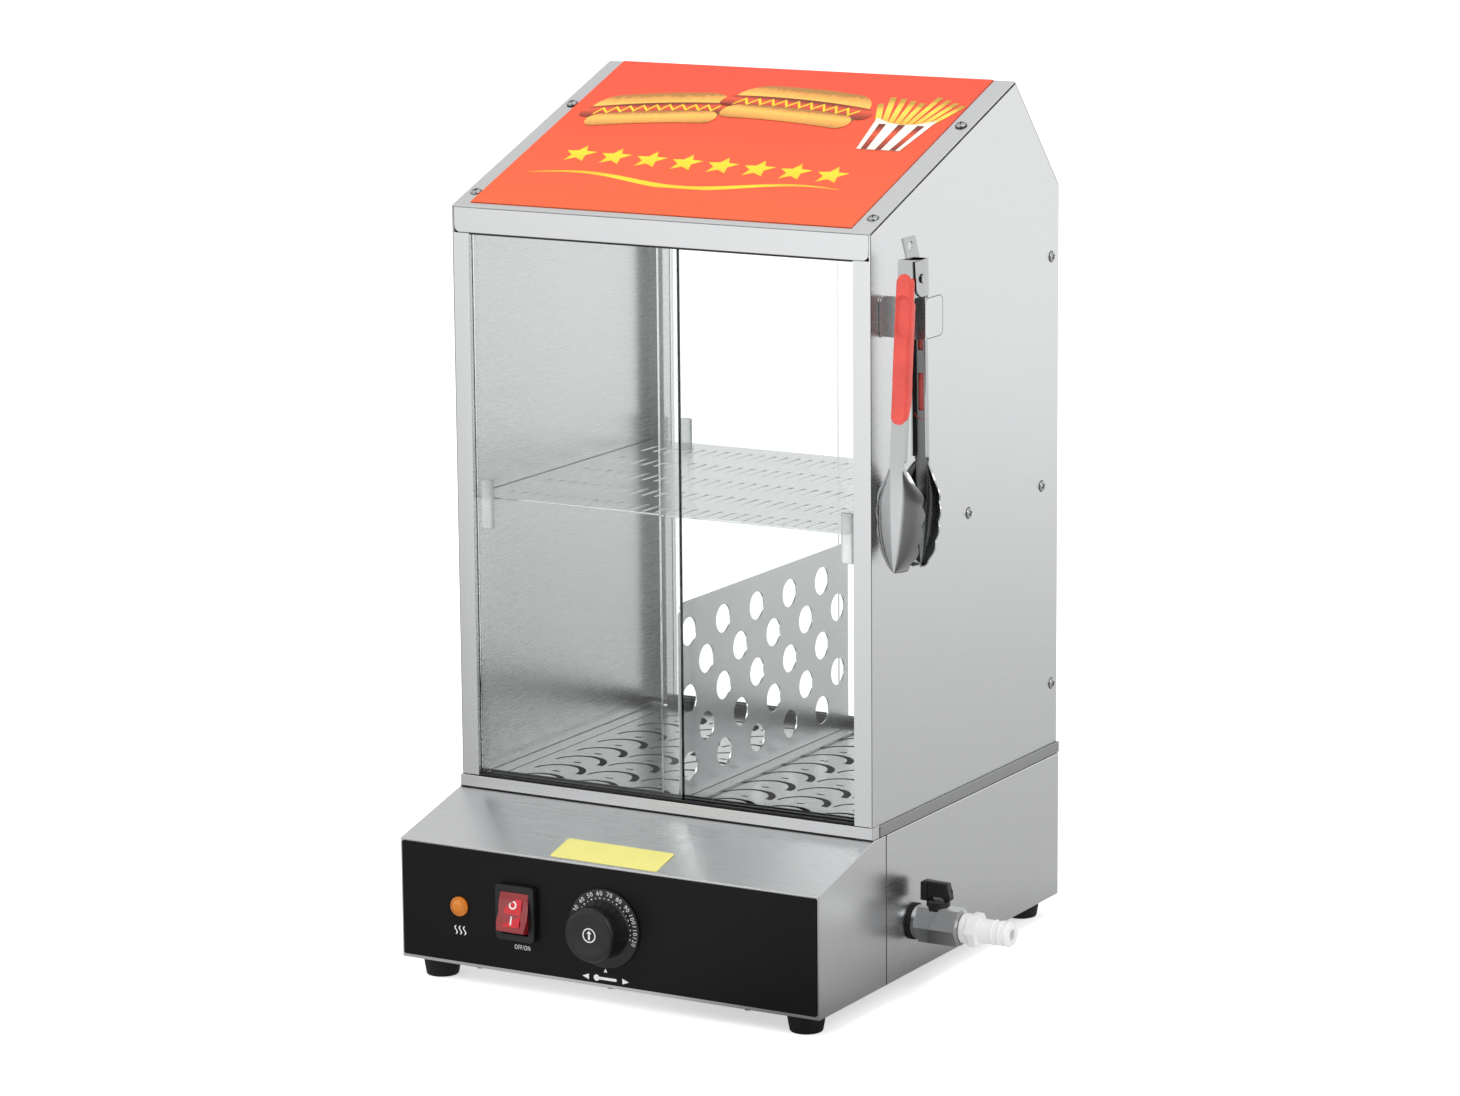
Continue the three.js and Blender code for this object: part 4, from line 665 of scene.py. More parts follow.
class STEAMER_OT_control_panel(bpy.types.Operator):
    """Finishes the overlay, the lamp and the switch"""

    bl_idname = "steamer.control_panel"
    bl_label = "Control panel"

    def execute(self, context):
        colours = context.scene.steamer_colours
        film = moulded_plastic("polyester_film_satin", colours.overlay, 0.34, 0.46, 0.7, 0.06,
                               Specular_IOR_Level=0.2)
        black = moulded_plastic("abs_black_moulded", colours.black_plastic, 0.3, 0.45, 0.45, 0.12)
        white = moulded_plastic("white_screen_ink", "#F2F2F2", 0.4, 0.5, 0.5, 0.05)
        repaint(["control_overlay"], film)
        soften(["control_overlay"], 0.15 * MM, 1)
        self.lamp(colours)
        self.switch(black)
        self.rocker(colours, white)
        self.symbols(white)
        return {"FINISHED"}

    def lamp(self, colours):
        """A domed lens with a round rim and its barrel behind the panel."""
        amber = moulded_plastic("polycarbonate_amber", colours.lamp, 0.08, 0.2, 1.2, 0.3,
                                IOR=1.58, Transmission_Weight=0.25, Coat_Weight=0.6)
        low, _, middle = box("indicator_lens")
        rim = [(6.8, 0), (6.8, 0.9), (6.5, 1.5), (6, 1.7), (5.5, 1.5), (5.4, 1.1)]
        dome = [(5.4 * cos(a), 1.1 + 1.9 * sin(a)) for a in (0.25, 0.5, 0.8, 1.1, 1.35)]
        profile = [(0, -16), (5, -16), (5, 0), *rim, *dome, (0, 3)]
        lens = turned(mm(profile), on_front(middle.x, low.y + 3 * MM, middle.z))
        keep("lamp_lens", lens, amber, "cabinet", "amber_lens", ["indicator_lens"])

    def switch(self, black):
        """The switch frame and its tub behind the panel."""
        low, high, middle = box("switch_bezel")
        rise = 4.6 * MM
        bezel = pierced(rounded(high.x - low.x, high.z - low.z, 2.5 * MM),
                        [rounded(22.4 * MM, 30.4 * MM, 1.2 * MM)], rise,
                        on_front(middle.x, low.y + rise / 2, middle.z), 0.7 * MM)
        # Half the tub's inner width and height, its outer ones, and the depth of its floor
        inner_x, inner_z, outer_x, outer_z, floor = 11.2, 15.2, 11.9, 15.7, 1
        near, far, back = low.y + rise, high.y - floor * MM, high.y
        tub = [block((middle.x + x0 * MM, y0, middle.z + z0 * MM),
                     (middle.x + x1 * MM, y1, middle.z + z1 * MM))
               for x0, x1, y0, y1, z0, z1 in (
                   (-outer_x, -inner_x, near, far, -outer_z, outer_z),
                   (inner_x, outer_x, near, far, -outer_z, outer_z),
                   (-inner_x, inner_x, near, far, inner_z, outer_z),
                   (-inner_x, inner_x, near, far, -outer_z, -inner_z),
                   (-outer_x, outer_x, far, back, -outer_z, outer_z))]
        keep("switch_frame", merged(bezel, *tub), black, "cabinet", "black_plastic", ["switch_bezel"], 20)

    def rocker(self, colours, white):
        """A red cap with a hollow face, a lighter window and its two marks."""
        red = moulded_plastic("polycarbonate_red", colours.rocker, 0.08, 0.18, 1.5, 0.05,
                              IOR=1.58, Transmission_Weight=0.3, Coat_Weight=0.7)
        hinge = next(j for j in frame["joints"] if j["name"] == "rocker_tilt")
        tilt = Matrix.Translation(hinge["pos_m"]) @ Matrix.Rotation(radians(-15), 4, "X")
        half = 13.3
        side = [(5.4 * sin(pi * i / 16), half * cos(pi * i / 16)) for i in range(17)]
        side += [(-4.5, -half), (-5, 1 - half), (-4.6, -6), (-4.3, 0), (-4.6, 6), (-5, half - 1),
                 (-4.5, half)]
        cap = prism(mm(side), 21.6 * MM, tilt @ on_right(-10.8 * MM, 0, 0))
        round_edges(cap, 1.1 * MM, 3, 35)
        keep("rocker_cap", cap, red, "rocker", "red_plastic", ["switch_rocker"])

        window = moulded_plastic("polycarbonate_red_window", "#CC1E2B", 0.1, 0.2, 1.5, 0.03, IOR=1.58)
        heights = [-9.6 + 19.2 * i / 16 for i in range(17)]
        # The window follows the cap's hollow face, which is steeper past 6 mm from the middle
        curve = [(-4.3 - 0.05 * min(abs(h), 6) - 0.063 * max(abs(h) - 6, 0), h) for h in heights]
        strip = [(y - 0.14, h) for y, h in curve] + [(y + 0.2, h) for y, h in reversed(curve)]
        keep("rocker_window", prism(mm(strip), 13.4 * MM, tilt @ on_right(-6.7 * MM, 0, 0)), window,
             "rocker", "red_plastic")

        place = tilt @ on_front(0, -4.65 * MM, 0)
        above, below = 5.4 * MM, 5.2 * MM
        circle = pierced(ring(2.9 * MM, 36, (0, above)), [ring(1.9 * MM, 36, (0, above))], 0.5 * MM, place)
        bar = prism([(x, y - below) for x, y in rounded(1.1 * MM, 6 * MM, 0.3 * MM)], 0.45 * MM,
                    place @ at(0, 0, -0.15 * MM))
        keep("rocker_marks", merged(circle, bar), white, "rocker", "red_plastic")

    def symbols(self, white):
        """Plain marks: heat waves under the lamp, the switch words, and an index under the dial."""
        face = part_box("control_overlay")[0].y
        ink = 0.08 * MM
        lamp_low, _, lamp = box("indicator_lens")
        place = on_front(lamp.x, face, lamp_low.z - 10 * MM)
        prints = []
        for step in (-1, 0, 1):
            wave = [(0.9 * sin(i * pi / 4) + 0.45 + step * 3.4, i * 0.75 - 3) for i in range(9)]
            back = [(px - 0.9, pz) for px, pz in reversed(wave)]
            prints.append(prism(mm(wave + back), ink, place))
        switch_low, _, switch = box("switch_bezel")
        place = on_front(switch.x + 3 * MM, face - ink / 2, switch_low.z - 6 * MM)
        condensed = Matrix.Diagonal((0.66, 1, 1, 1))
        prints.append(lettering("OFF/ON", 4.6 * MM, ink, place @ condensed))
        dial_low, _, dial = box("thermostat_knob")
        z = dial_low.z - 3.2 * MM
        prints.append(prism(mm([(-1.4, -1.1), (1.4, -1.1), (0, 1.6)]), ink,
                            on_front(dial.x, face, z + 1 * MM)))
        # A thermometer between two arrows shows that the dial sets the heat
        place = on_front(dial.x, face, z - 4.6 * MM)
        prints.append(prism(ring(2.2 * MM, 24, (-7 * MM, 0)), ink, place))
        prints.append(prism(rounded(16 * MM, 1.9 * MM, 0.9 * MM), 0.09 * MM,
                            place @ at(0.6 * MM, 0, 0)))
        for turn in (-1, 1):
            tip = [(turn * x, z) for x, z in ((13, -2), (18, 0), (13, 2))]
            prints.append(prism(mm(tip[::turn]), ink, place))
        keep("panel_print", merged(*prints), white, "cabinet", "overlay_film")


class STEAMER_OT_dial(bpy.types.Operator):
    """Turns the thermostat dial and prints its numbers"""

    bl_idname = "steamer.dial"
    bl_label = "Dial"

    def execute(self, context):
        colours = context.scene.steamer_colours
        black = moulded_plastic("abs_dial_moulded", colours.black_plastic, 0.24, 0.36, 0.5, 0.1)
        white = moulded_plastic("white_pad_print", "#EDEDED", 0.4, 0.5, 0.5, 0.05)
        _, high, middle = box("thermostat_knob")
        place = on_front(middle.x, high.y, middle.z)
        profile = mm((
            (0, 20.1), (5.6, 20.15), (8.4, 20.4), (11.4, 21.1), (13.4, 21.65), (14.8, 21.8), (16.4, 21.6),
            (17.8, 21), (18.6, 19.8),
            (18.9, 16), (19.3, 4), (19.6, 2.6), (20.2, 1.9), (21, 1.7), (26.4, 1.6), (27.1, 1.3), (27.3, 0.8),
            (27.2, 0.1), (26.9, 0), (3.3, 0), (3.3, 14.7), (0, 14.7)))
        keep("dial_knob", turned(profile, place, 96), black, "dial", "black_plastic", ["thermostat_knob"])
        # The scale's first bearing and its step, in degrees, and the skirt's height under the print
        first, between, skirt = 152, 18.4, 1.66 * MM
        prints = []
        for half_step in range(19):
            angle = radians(first - half_step / 2 * between)
            toward = Vector((cos(angle), sin(angle), 0))
            numbered = half_step % 2 == 0
            if numbered:
                spot = Matrix.Translation(toward * 24.1 * MM + Vector((0, 0, skirt)))
                spin = Matrix.Rotation(angle - pi / 2, 4, "Z")
                prints.append(lettering(str(30 + half_step * 5), 4.3 * MM, 0.08 * MM, place @ spot @ spin))
            dot = ring((0.62 if numbered else 0.45) * MM, 12, (toward.xy * 20.9 * MM).to_tuple())
            prints.append(prism(dot, 0.12 * MM, place @ at(0, 0, skirt)))
        centre = place @ at(0, 0, 20.12 * MM)
        prints.append(pierced(ring(5 * MM, 48), [ring(4.15 * MM, 48)], 0.2 * MM, centre))
        pointer = [(-0.6875, -3), (0.6875, -3), (0.6875, 1.125), (1.875, 1.125), (0, 3.25), (-1.875, 1.125),
                   (-0.6875, 1.125)]
        prints.append(prism(mm(pointer), 0.1 * MM, centre))
        keep("dial_print", merged(*prints), white, "dial", "black_plastic")
        return {"FINISHED"}


class STEAMER_OT_sticker(bpy.types.Operator):
    """Lays the blank sticker on the slope"""

    bl_idname = "steamer.sticker"
    bl_label = "Sticker"

    def execute(self, context):
        paper = moulded_plastic("coated_paper", context.scene.steamer_colours.sticker, 0.35, 0.5, 0.9, 0.1,
                                0.02)
        low, high, middle = box("info_sticker")
        # It was stuck on a little askew
        place = on_slope(low, high, middle, -0.2 * MM) @ Matrix.Rotation(radians(-0.7), 4, "Z")
        width, tall = high.x - low.x - 0.6 * MM, (high - low).yz.length - 0.9 * MM
        sheet = prism(rounded(width, tall, 2 * MM), 0.35 * MM, place, 0.08 * MM, 1)
        keep("sticker_sheet", sheet, paper, "cabinet", "yellow_sticker", ["info_sticker"])
        return {"FINISHED"}


class STEAMER_OT_roof_print(bpy.types.Operator):
    """Prints the roof poster with a generic food design"""

    bl_idname = "steamer.roof_print"
    bl_label = "Roof print"

    def execute(self, context):
        colours = context.scene.steamer_colours
        low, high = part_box("roof_poster")
        shades = (colours.print_orange, "#EC552C", colours.print_red)
        film = printed_film("vinyl_print_film", [(i / 2, linear(shade)) for i, shade in enumerate(shades)],
                            "Y", low.y, high.y)
        repaint(["roof_poster"], film)
        self.inks = {
            "bun": printed_food("print_bun", colours.bun, 0.55, 1.5, 4),
            "sausage": printed_food("print_sausage", colours.sausage, 0.5, 2.2, 3),
            "leaf": printed_food("print_leaf", colours.leaf, 0.45, 1.7, 2.5),
            "mustard": printed_food("print_mustard", colours.mustard, 0.8, 1.1, 5),
            "box": printed_food("print_box", "#F7F1E6", 0.85, 1.05, 5),
            "fries": printed_food("print_fries", "#F6C244", 0.6, 1.35, 2),
        }
        self.shapes = {ink: [] for ink in self.inks}
        self.hot_dog(-80, 37, 9, 1.22)
        self.hot_dog(22, 52, -5, 1.3)
        self.fries(112, 28, 1.35)
        self.stars()
        for ink, parts in self.shapes.items():
            keep(f"print_{ink}", merged(*parts), self.inks[ink], "cabinet", "poster_film")
        return {"FINISHED"}

    def shape(self, ink, outline, layer, place):
        """One printed shape whose UV runs across it in its own local Y."""
        bm = prism(mm(outline), 0.05 * MM)
        span = [y for _, y in outline]
        low, high = min(span) * MM, max(span) * MM
        layer_uv = bm.loops.layers.uv.new("across")
        for face in bm.faces:
            for loop in face.loops:
                loop[layer_uv].uv = (0.5, (loop.vert.co.y - low) / (high - low))
        bm.transform(on_slope(*box("roof_poster"), 0.2 * MM + layer * 0.05 * MM) @ place)
        self.shapes[ink].append(bm)

    def capsule(self, width, height, y, bend):
        """A long rounded outline whose middle is lifted by the bend."""
        points = rounded(width, height, height / 2 * 0.98, steps=10)
        fine = []
        for (x0, y0), (x1, y1) in zip(points, points[1:] + points[:1]):
            count = max(1, int(hypot(x1 - x0, y1 - y0) / 4))
            fine += [(x0 + (x1 - x0) * i / count, y0 + (y1 - y0) * i / count) for i in range(count)]
        return [(px, py + y + bend * (1 - (2 * px / width) ** 2)) for px, py in fine]

    def hot_dog(self, x, y, turn, size):
        place = (at(x * MM, y * MM, 0) @ Matrix.Rotation(radians(turn), 4, "Z")
                 @ Matrix.Diagonal((size, size, 1, 1)))
        self.shape("bun", self.capsule(84, 30, 4, 3), 1, place)
        salad = [(x, 4.5 + 2.2 * sin((x + 40) * 0.625) + 3 * (1 - (x / 40) ** 2))
                 for x in range(-40, 41, 2)]
        salad += [(x, -8) for x in range(40, -41, -2)]
        self.shape("leaf", salad, 2, place)
        self.shape("sausage", self.capsule(94, 13, -0.5, 3.5), 3, place)
        zigzag = [(x, 1.6 + (3.2 if x % 8 == 6 else -3.2) + 3 * (1 - (x / 38) ** 2))
                  for x in range(-38, 39, 4)]
        lower = [(px, py - 2.4) for px, py in reversed(zigzag)]
        self.shape("mustard", zigzag + lower, 4, place)
        self.shape("bun", self.capsule(80, 15, -11, 2.5), 5, place)

    def fries(self, x, y, size):
        base = at(x * MM, y * MM, 0) @ Matrix.Diagonal((size, size, 1, 1))
        for index in range(9):
            lean = (index - 4) * 5.5
            stick = base @ at((index - 4) * 3.1 * MM, 2 * MM, 0) @ Matrix.Rotation(
                radians(-lean), 4, "Z")
            tall = 27 + (index * 7) % 9
            self.shape("fries", [(-1.6, 0), (1.6, 0), (1.6, tall), (-1.6, tall)], 1 + index % 3, stick)
        self.shape("box", [(-17, 12), (-12, -22), (12, -22), (17, 12), (8, 7), (0, 5.5), (-8, 7)], 5, base)
        for offset in (-8, 0, 8):
            upper = offset * 1.35
            stripe = [(offset - 1.6, -21.9), (offset + 1.6, -21.9), (upper + 2, 5.4), (upper - 2, 5.4)]
            self.shape("sausage", stripe, 6, base)

    def stars(self):
        """A row of bold stars above a tapering wave."""
        for index in range(8):
            place = at((-103 + index * 28.5) * MM, (-32 - index * 1.2) * MM, 0)
            points = []
            for i in range(10):
                radius = 12.5 if i % 2 == 0 else 5.6
                points.append((radius * sin(i * pi / 5), radius * cos(i * pi / 5)))
            self.shape("mustard", points, 1, place)
        top = [(-128 + i * 4, -62 + 6 * sin(i * 0.15)) for i in range(61)]
        low = [(x, y - 5.5 * sin(pi * (i + 0.6) / 62)) for i, (x, y) in enumerate(top)]
        self.shape("mustard", top + low[::-1], 1, Matrix())


# Half a nut's width across its flats times this is its corner's radius
TO_CORNER = 1 / cos(pi / 6)
# The valve's stem stands this far from its end at the base
STEM = 15.9 * MM


class STEAMER_OT_drain(bpy.types.Operator):
    """Machines the drain valve and moulds its lever and tail"""

    bl_idname = "steamer.drain"
    bl_label = "Drain valve"

    def execute(self, context):
        colours = context.scene.steamer_colours
        plate = plated_brass("brass_chrome_plated", colours.chrome)
        black = moulded_plastic("nylon_black_moulded", colours.black_plastic, 0.3, 0.42, 0.4, 0.1)
        nylon = moulded_plastic("nylon_white_moulded", colours.nylon, 0.32, 0.45, 0.9, 0.1,
                                Subsurface_Weight=0.15, Subsurface_Radius=(1.5 * MM, 1.5 * MM, 1.4 * MM))
        repaint(["valve_ball"], plate)
        self.body(plate)
        self.lever(black)
        self.tail(nylon)
        return {"FINISHED"}

    def body(self, plate):
        low, high, middle = box("valve_body")
        place = on_right(low.x, middle.y, middle.z)
        long = (high.x - low.x) / MM
        nut = hexagon(12 * TO_CORNER, 4, long - 5.4, place, 0.35)
        flange = [(6.5, 0), (11.2, 0), (11.5, 0.3), (11.5, 3), (11.2, 3.6), (10.6, 4.4), (6.5, 4.4)]
        nose = [(6.3, long - 1.5), (12.2, long - 1.5), (12.2, long - 1.4), (10.2, long), (6.5, long)]
        rings = [turned(mm(profile), place, 64, True) for profile in (flange, nose)]
        tower = turned(mm([(0, 11), (5.6, 11), (5.6, 12.2), (5.2, 12.4), (0, 12.4)]),
                       at(low.x + STEM, middle.y, middle.z), 40)
        keep("valve_hexagon", merged(nut, *rings, tower), plate, "cabinet", "chrome_plate", ["valve_body"])

    def lever(self, black):
        low, high, middle = box("valve_body")
        foot = Vector((low.x + STEM, middle.y, high.z + 0.5 * MM))
        parts = [turned(mm([(0, 0), (7.4, 0), (8, 0.6), (8, 4), (7.2, 4.8), (0, 5)]),
                        Matrix.Translation(foot), 48)]
        wing = [(-11.3, 4.6), (-11.4, 17), (-9.6, 17.6), (8.2, 17.2), (8.8, 11), (10.4, 8.2), (10.3, 5.6),
                (6.2, 5), (4.6, 8), (-4.8, 8), (-5.2, 4.6)]
        rib = [(-11.6, 4.2), (-6.4, 4.2), (-6.8, 17.2), (-11.5, 17)]
        tab = [(-2.6, -7), (2.6, -7), (3.9, 1.4), (-3.9, 1.4)]
        for outline, thick, spot, edge, segments in (
                (wing, 6.2, (-0.2, 3.1, -0.4), 0.7, 3), (rib, 8, (-0.2, 4, -0.4), 0.6, 2),
                (tab, 1.7, (0, -6.1, 0), 0.4, 2)):
            part = prism(mm(outline), thick * MM, on_front(*(foot + Vector(spot) * MM)))
            round_edges(part, edge * MM, segments)
            parts.append(part)
        keep("drain_lever_cap", merged(*parts), black, "drain_lever", "black_plastic", ["valve_handle"])

    def tail(self, nylon):
        _, high, barb = box("hose_barb")
        _, body_high, body = box("valve_body")
        start = body_high.x + 0.3 * MM
        place = on_right(start, barb.y, body.z)
        end = (high.x - start) / MM
        tube = [(6.1, -6.5), (6.1, 0.05), (9.8, 0.05), (10.2, 0.5), (10.2, 4.6), (9.8, 5), (9, 5.2),
                (9, 12.4), (8.6, 12.9), (8.2, 13.3)]
        for crest in (end - 12.5, end - 7.5, end - 2.5):
            tube += [(8.1, crest - 2), (8.3, crest - 0.9), (8.65, crest), (8.55, crest + 0.4),
                     (8.05, crest + 0.9)]
        tube += [(8, end - 0.8), (7.7, end - 0.2), (7.2, end), (4.1, end), (3.7, end - 0.5), (3.7, -6.5)]
        pipe = turned(mm(tube), place, 64, True)
        collar = hexagon(10.5 * TO_CORNER, 6, 6.4, place, 0.5, 3)
        keep("drain_tail", merged(pipe, collar), nylon, "cabinet", "white_nylon", ["hose_barb"])


class STEAMER_OT_tongs(bpy.types.Operator):
    """Presses the tongs and moulds their grips"""

    bl_idname = "steamer.tongs"
    bl_label = "Tongs"

    def execute(self, context):
        colours = context.scene.steamer_colours
        steel = brushed_steel("stainless_polished", colours.chrome, "Z", 0.08, 0.2)
        # The arms' inner sides take a darker copy of the steel, as painted shade inside the channels
        inside = brushed_steel("stainless_inside_painted_shade", "#757677", "Z", 0.12, 0.28)
        coral = moulded_plastic("polypropylene_coral", colours.grip, 0.2, 0.3, 0.8, 0.08)
        repaint(["tong_pin", "tong_pull_tab"], steel)
        hinge = next(j for j in frame["joints"] if j["name"] == "tong_hinge")
        pin = Matrix.Translation(hinge["pos_m"])
        front = pin @ Matrix.Rotation(radians(-5.5), 4, "X")
        rear = pin @ Matrix.Rotation(radians(1.4), 4, "X") @ Matrix.Rotation(pi, 4, "Z")
        # In mm: how far the back lies from the pin, the ears' reach and half width, the sleeve's depth and
        # half width, and the depth of the thumb's hollow
        for name, body, place, face, ear, half, deep, across, hollow in (
                ("front", "tongs", front, 12.0, 4.4, 5.5, 6.0, 6.3, 1.8),
                ("rear", "tong_rear", rear, 10.0, 8.5, 6.8, 2.2, 5.2, 0.0)):
            for part, bm, finishes, slot, stands_for, sharp in (
                    ("steel", self.arm(face, ear, half, hollow), (steel, inside), "sheet_steel", "arm", 40),
                    ("sleeve", self.grip(face, deep, across, hollow), (coral, coral), "coral_grip", "grip",
                     35)):
                bm.transform(place)
                keep(f"tong_{name}_{part}", bm, finishes, body, slot, [f"tong_{name}_{stands_for}"], sharp)
        zinc = plated_brass("zinc_rivet", "#6E6F70")
        head = [(0, 0.7), (1.3, 0.75), (1.7, 1), (2.5, 0.9), (3.1, 0.3), (3.1, 0), (0, 0)]
        ends = []
        for side in (-1, 1):
            outwards = Matrix.Rotation(side * pi / 2, 4, "Y")
            spot = pin @ at(side * 7.1 * MM, 0, 0) @ outwards
            ends.append(turned(mm(head), spot, 32))
        keep("tong_rivet", merged(*ends), zinc, "tongs", "sheet_steel")
        return {"FINISHED"}

    def thumb(self, x, z):
        """The thumb's hollow: a long oval, 0 at its rim and 1 in its middle."""
        # In mm: its middle under the pin, half its straight length, its round ends and its half width
        below, straight, end, across = 25, 8, 6, 5.2
        return max(0, 1 - (max(0, abs(z + below) - straight) / end) ** 2 - (x / across) ** 2) ** 0.4

    def arm(self, face, ear, half, hollow):
        """A pressed channel with ears at the pin and a creased spoon with a scalloped rim at its end.

        Sizes are in millimetres, and heights are measured from the pin. The share runs from the crease at 0
        over the back to 0.5, and on over the wall to its rim at 1.
        """
        # The channel's wall and half width, the round of its bends, and where the ears end and fade into it
        wall, back, bend, ears_end, ears_fade = 4.6, 5.5, 0.6, -4, 9
        # Where the spoon is broadest, as a share of its length, its half width there and at the tip, how
        # deep its rim is scalloped, from which share on, and by how much its bowl is deeper than the channel
        broadest, broad, tip, scallop, scalloped, bowl = 0.42, 18.2, 2.5, 1.8, 0.2, 5

        def channel(z, share):
            blend = max(0, 1 - (max(0, ears_end - z) / ears_fade) ** 2) ** 0.5
            deep = wall + (face + ear - wall) * blend
            wide = back + (half - back) * min(1, blend * 3)
            if share <= 0.5:
                return (wide - bend) * share * 2, 0
            rise = (share - 0.5) * 2
            return wide - bend + bend * min(1, rise * 8), deep * rise

        def spoon(t, share):
            if t < broadest:
                rim = back + (broad - back) * sin(t / broadest * pi / 2)
            else:
                rim = tip + (broad - tip) * max(0, 1 - ((t - broadest) / (1 - broadest)) ** 2) ** 0.5
            notch = scallop * (1 - abs(sin(4.5 * pi * max(0, t - scalloped) / (1 - scalloped))))
            flat = (back - bend) * (1 - t) ** 0.7 + 0.2
            deep = wall + bowl * sin(min(t * 1.6, 1) * pi / 2) * (1 - 0.5 * t)
            if share <= 0.5:
                return flat * share * 2, 0
            rise = (share - 0.5) * 2 * max(0.2, (rim - notch - flat) / max(rim - flat, 0.1))
            return flat + (rim - flat) * rise, deep * rise ** (1 + 0.5 * min(t * 6, 1))

        top, spoon_top, end = 12, -120, -192

        def shape(u, v):
            z = top + (end - top) * v
            side = 2 * u - 1
            t = max(0.0, (spoon_top - z) / (spoon_top - end))
            x, y = spoon(t, abs(side)) if t else channel(z, abs(side))
            return Vector((copysign(x, side), y - face + 3 * t * t + hollow * self.thumb(x, z), z)) * MM

        def window(spot):
            """The two openings that are punched in the channel's back."""
            inside = abs(spot.x) < 2.3 * MM and spot.y < (1 - face) * MM
            return inside and (-49 * MM < spot.z < -38 * MM or -89 * MM < spot.z < -64.5 * MM)

        return bent_sheet(204, 20, shape, 0.9 * MM, window)

    def grip(self, face, deep, across, hollow):
        """A sleeve over the channel, round at both ends, with a scooped hollow for the thumb."""
        top, bottom = 3, -95
        # The length of the round ends, the corners' radius, and the shares of the section, from its middle
        # to its rim, between which a corner bends
        round_end, radius, bends, upright = 6.3, 2.7, 0.64, 0.86

        def shape(u, v):
            z = top + (bottom - top) * v
            side = 2 * u - 1
            share = abs(side)
            end = min(top - z, z - bottom)
            narrow = max((1 - (1 - min(end / round_end, 1)) ** 2) ** 0.5, 0.06)
            wide = across * narrow
            # The walls are cut back beside the pull tab, and round off at the lower end
            beside = 3.6 if hollow else 0.8
            reach = min(deep, beside + max(0, -14.6 - z), 1.4 + max(0, z + 94) * 0.35)
            corner = min(radius, reach * 0.8) * narrow
            if share < bends:
                x, y = (wide - corner) * share / bends, 0
            elif share < upright:
                a = (share - bends) / (upright - bends) * pi / 2
                x, y = wide - corner + corner * sin(a), corner * (1 - cos(a))
            else:
                x, y = wide, corner + (reach - corner) * (share - upright) / (1 - upright)
            crown = 0.6 * (1 - min(end / 5, 1)) ** 2
            # The lower third steps in a little
            step = 0.45 * min(1, max(0, -68 - z + 1.2 * (x / 5) ** 2) / 1.5)
            sunk = max((0.6 + hollow) * self.thumb(x, z), step)
            return Vector((copysign(x, side), y - face - 1 + sunk + crown, z)) * MM

        return bent_sheet(196, 44, shape, 0.3 * MM)


class STEAMER_OT_screws(bpy.types.Operator):
    """Drives the pan-head screws of the roof, the sides and the base"""

    bl_idname = "steamer.screws"
    bl_label = "Screws"

    def execute(self, context):
        sizes = context.scene.steamer_sizes
        steel = plated_brass("zinc_plated_screw", "#B9BABB")
        dark = moulded_plastic("screw_slot_shadow", "#2B2B2B", 0.5, 0.7, 0.5, 0.1)
        right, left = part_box("right_side_panel")[1].x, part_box("left_side_panel")[0].x
        _, base_high, base = box("base_body")
        back = base_high.y - 176.7 * MM
        low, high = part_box("roof_panel_front")
        places = []
        for x, y in ((-152, 44), (152, 44), (-152.3, -81.5), (152.3, -81.5)):
            share = (back + y * MM - low.y) / (high.y - low.y)
            spot = Vector((base.x + x * MM, back + y * MM, low.z + share * (high.z - low.z)))
            places.append(on_slope(low, high, spot, 0.95 * MM))
        for y, z in ((165.6, 472.2), (151.5, 313.1), (39.8, 313.4), (168.1, 169.1)):
            places += [on_right(right, back + y * MM, z * MM), on_left(left, back + y * MM, z * MM)]
        heads, slots = [], []
        for place in places:
            self.screw(place, sizes.screw_head / 2, sizes.screw_rise, heads, slots)
        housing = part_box("control_housing")[0]
        for x in (-102, 1.3, 106.3):
            spot = at(base.x + x * MM, housing.y + 4.2 * MM, housing.z)
            self.screw(spot @ Matrix.Rotation(pi, 4, "X"), 3 * MM, 1.5 * MM, heads, slots)
        keep("screw_heads", merged(*heads), steel, "cabinet", "chrome_plate", (), 50)
        keep("screw_slots", merged(*slots), dark, "cabinet", "black_plastic")
        return {"FINISHED"}

    def screw(self, place, radius, rise, heads, slots):
        """A domed head with a dark cross in it and a dark ring of shadow round it."""
        dome = [(radius * sin(a), rise * cos(a) ** 0.7) for a in (0.3, 0.6, 0.9, 1.2, 1.45)]
        heads.append(turned([(0, rise), *dome, (radius, 0), (0, 0)], place, 24))
        slots.append(prism(ring(radius + 0.45 * MM, 24), 0.08 * MM, place))
        reach, half = 0.55 * radius, 0.11 * radius
        for turn in (0.4, 0.4 + pi / 2):
            bar = block((-reach, -half, rise * 0.75), (reach, half, rise * 1.01))
            bar.transform(place @ Matrix.Rotation(turn, 4, "Z"))
            slots.append(bar)


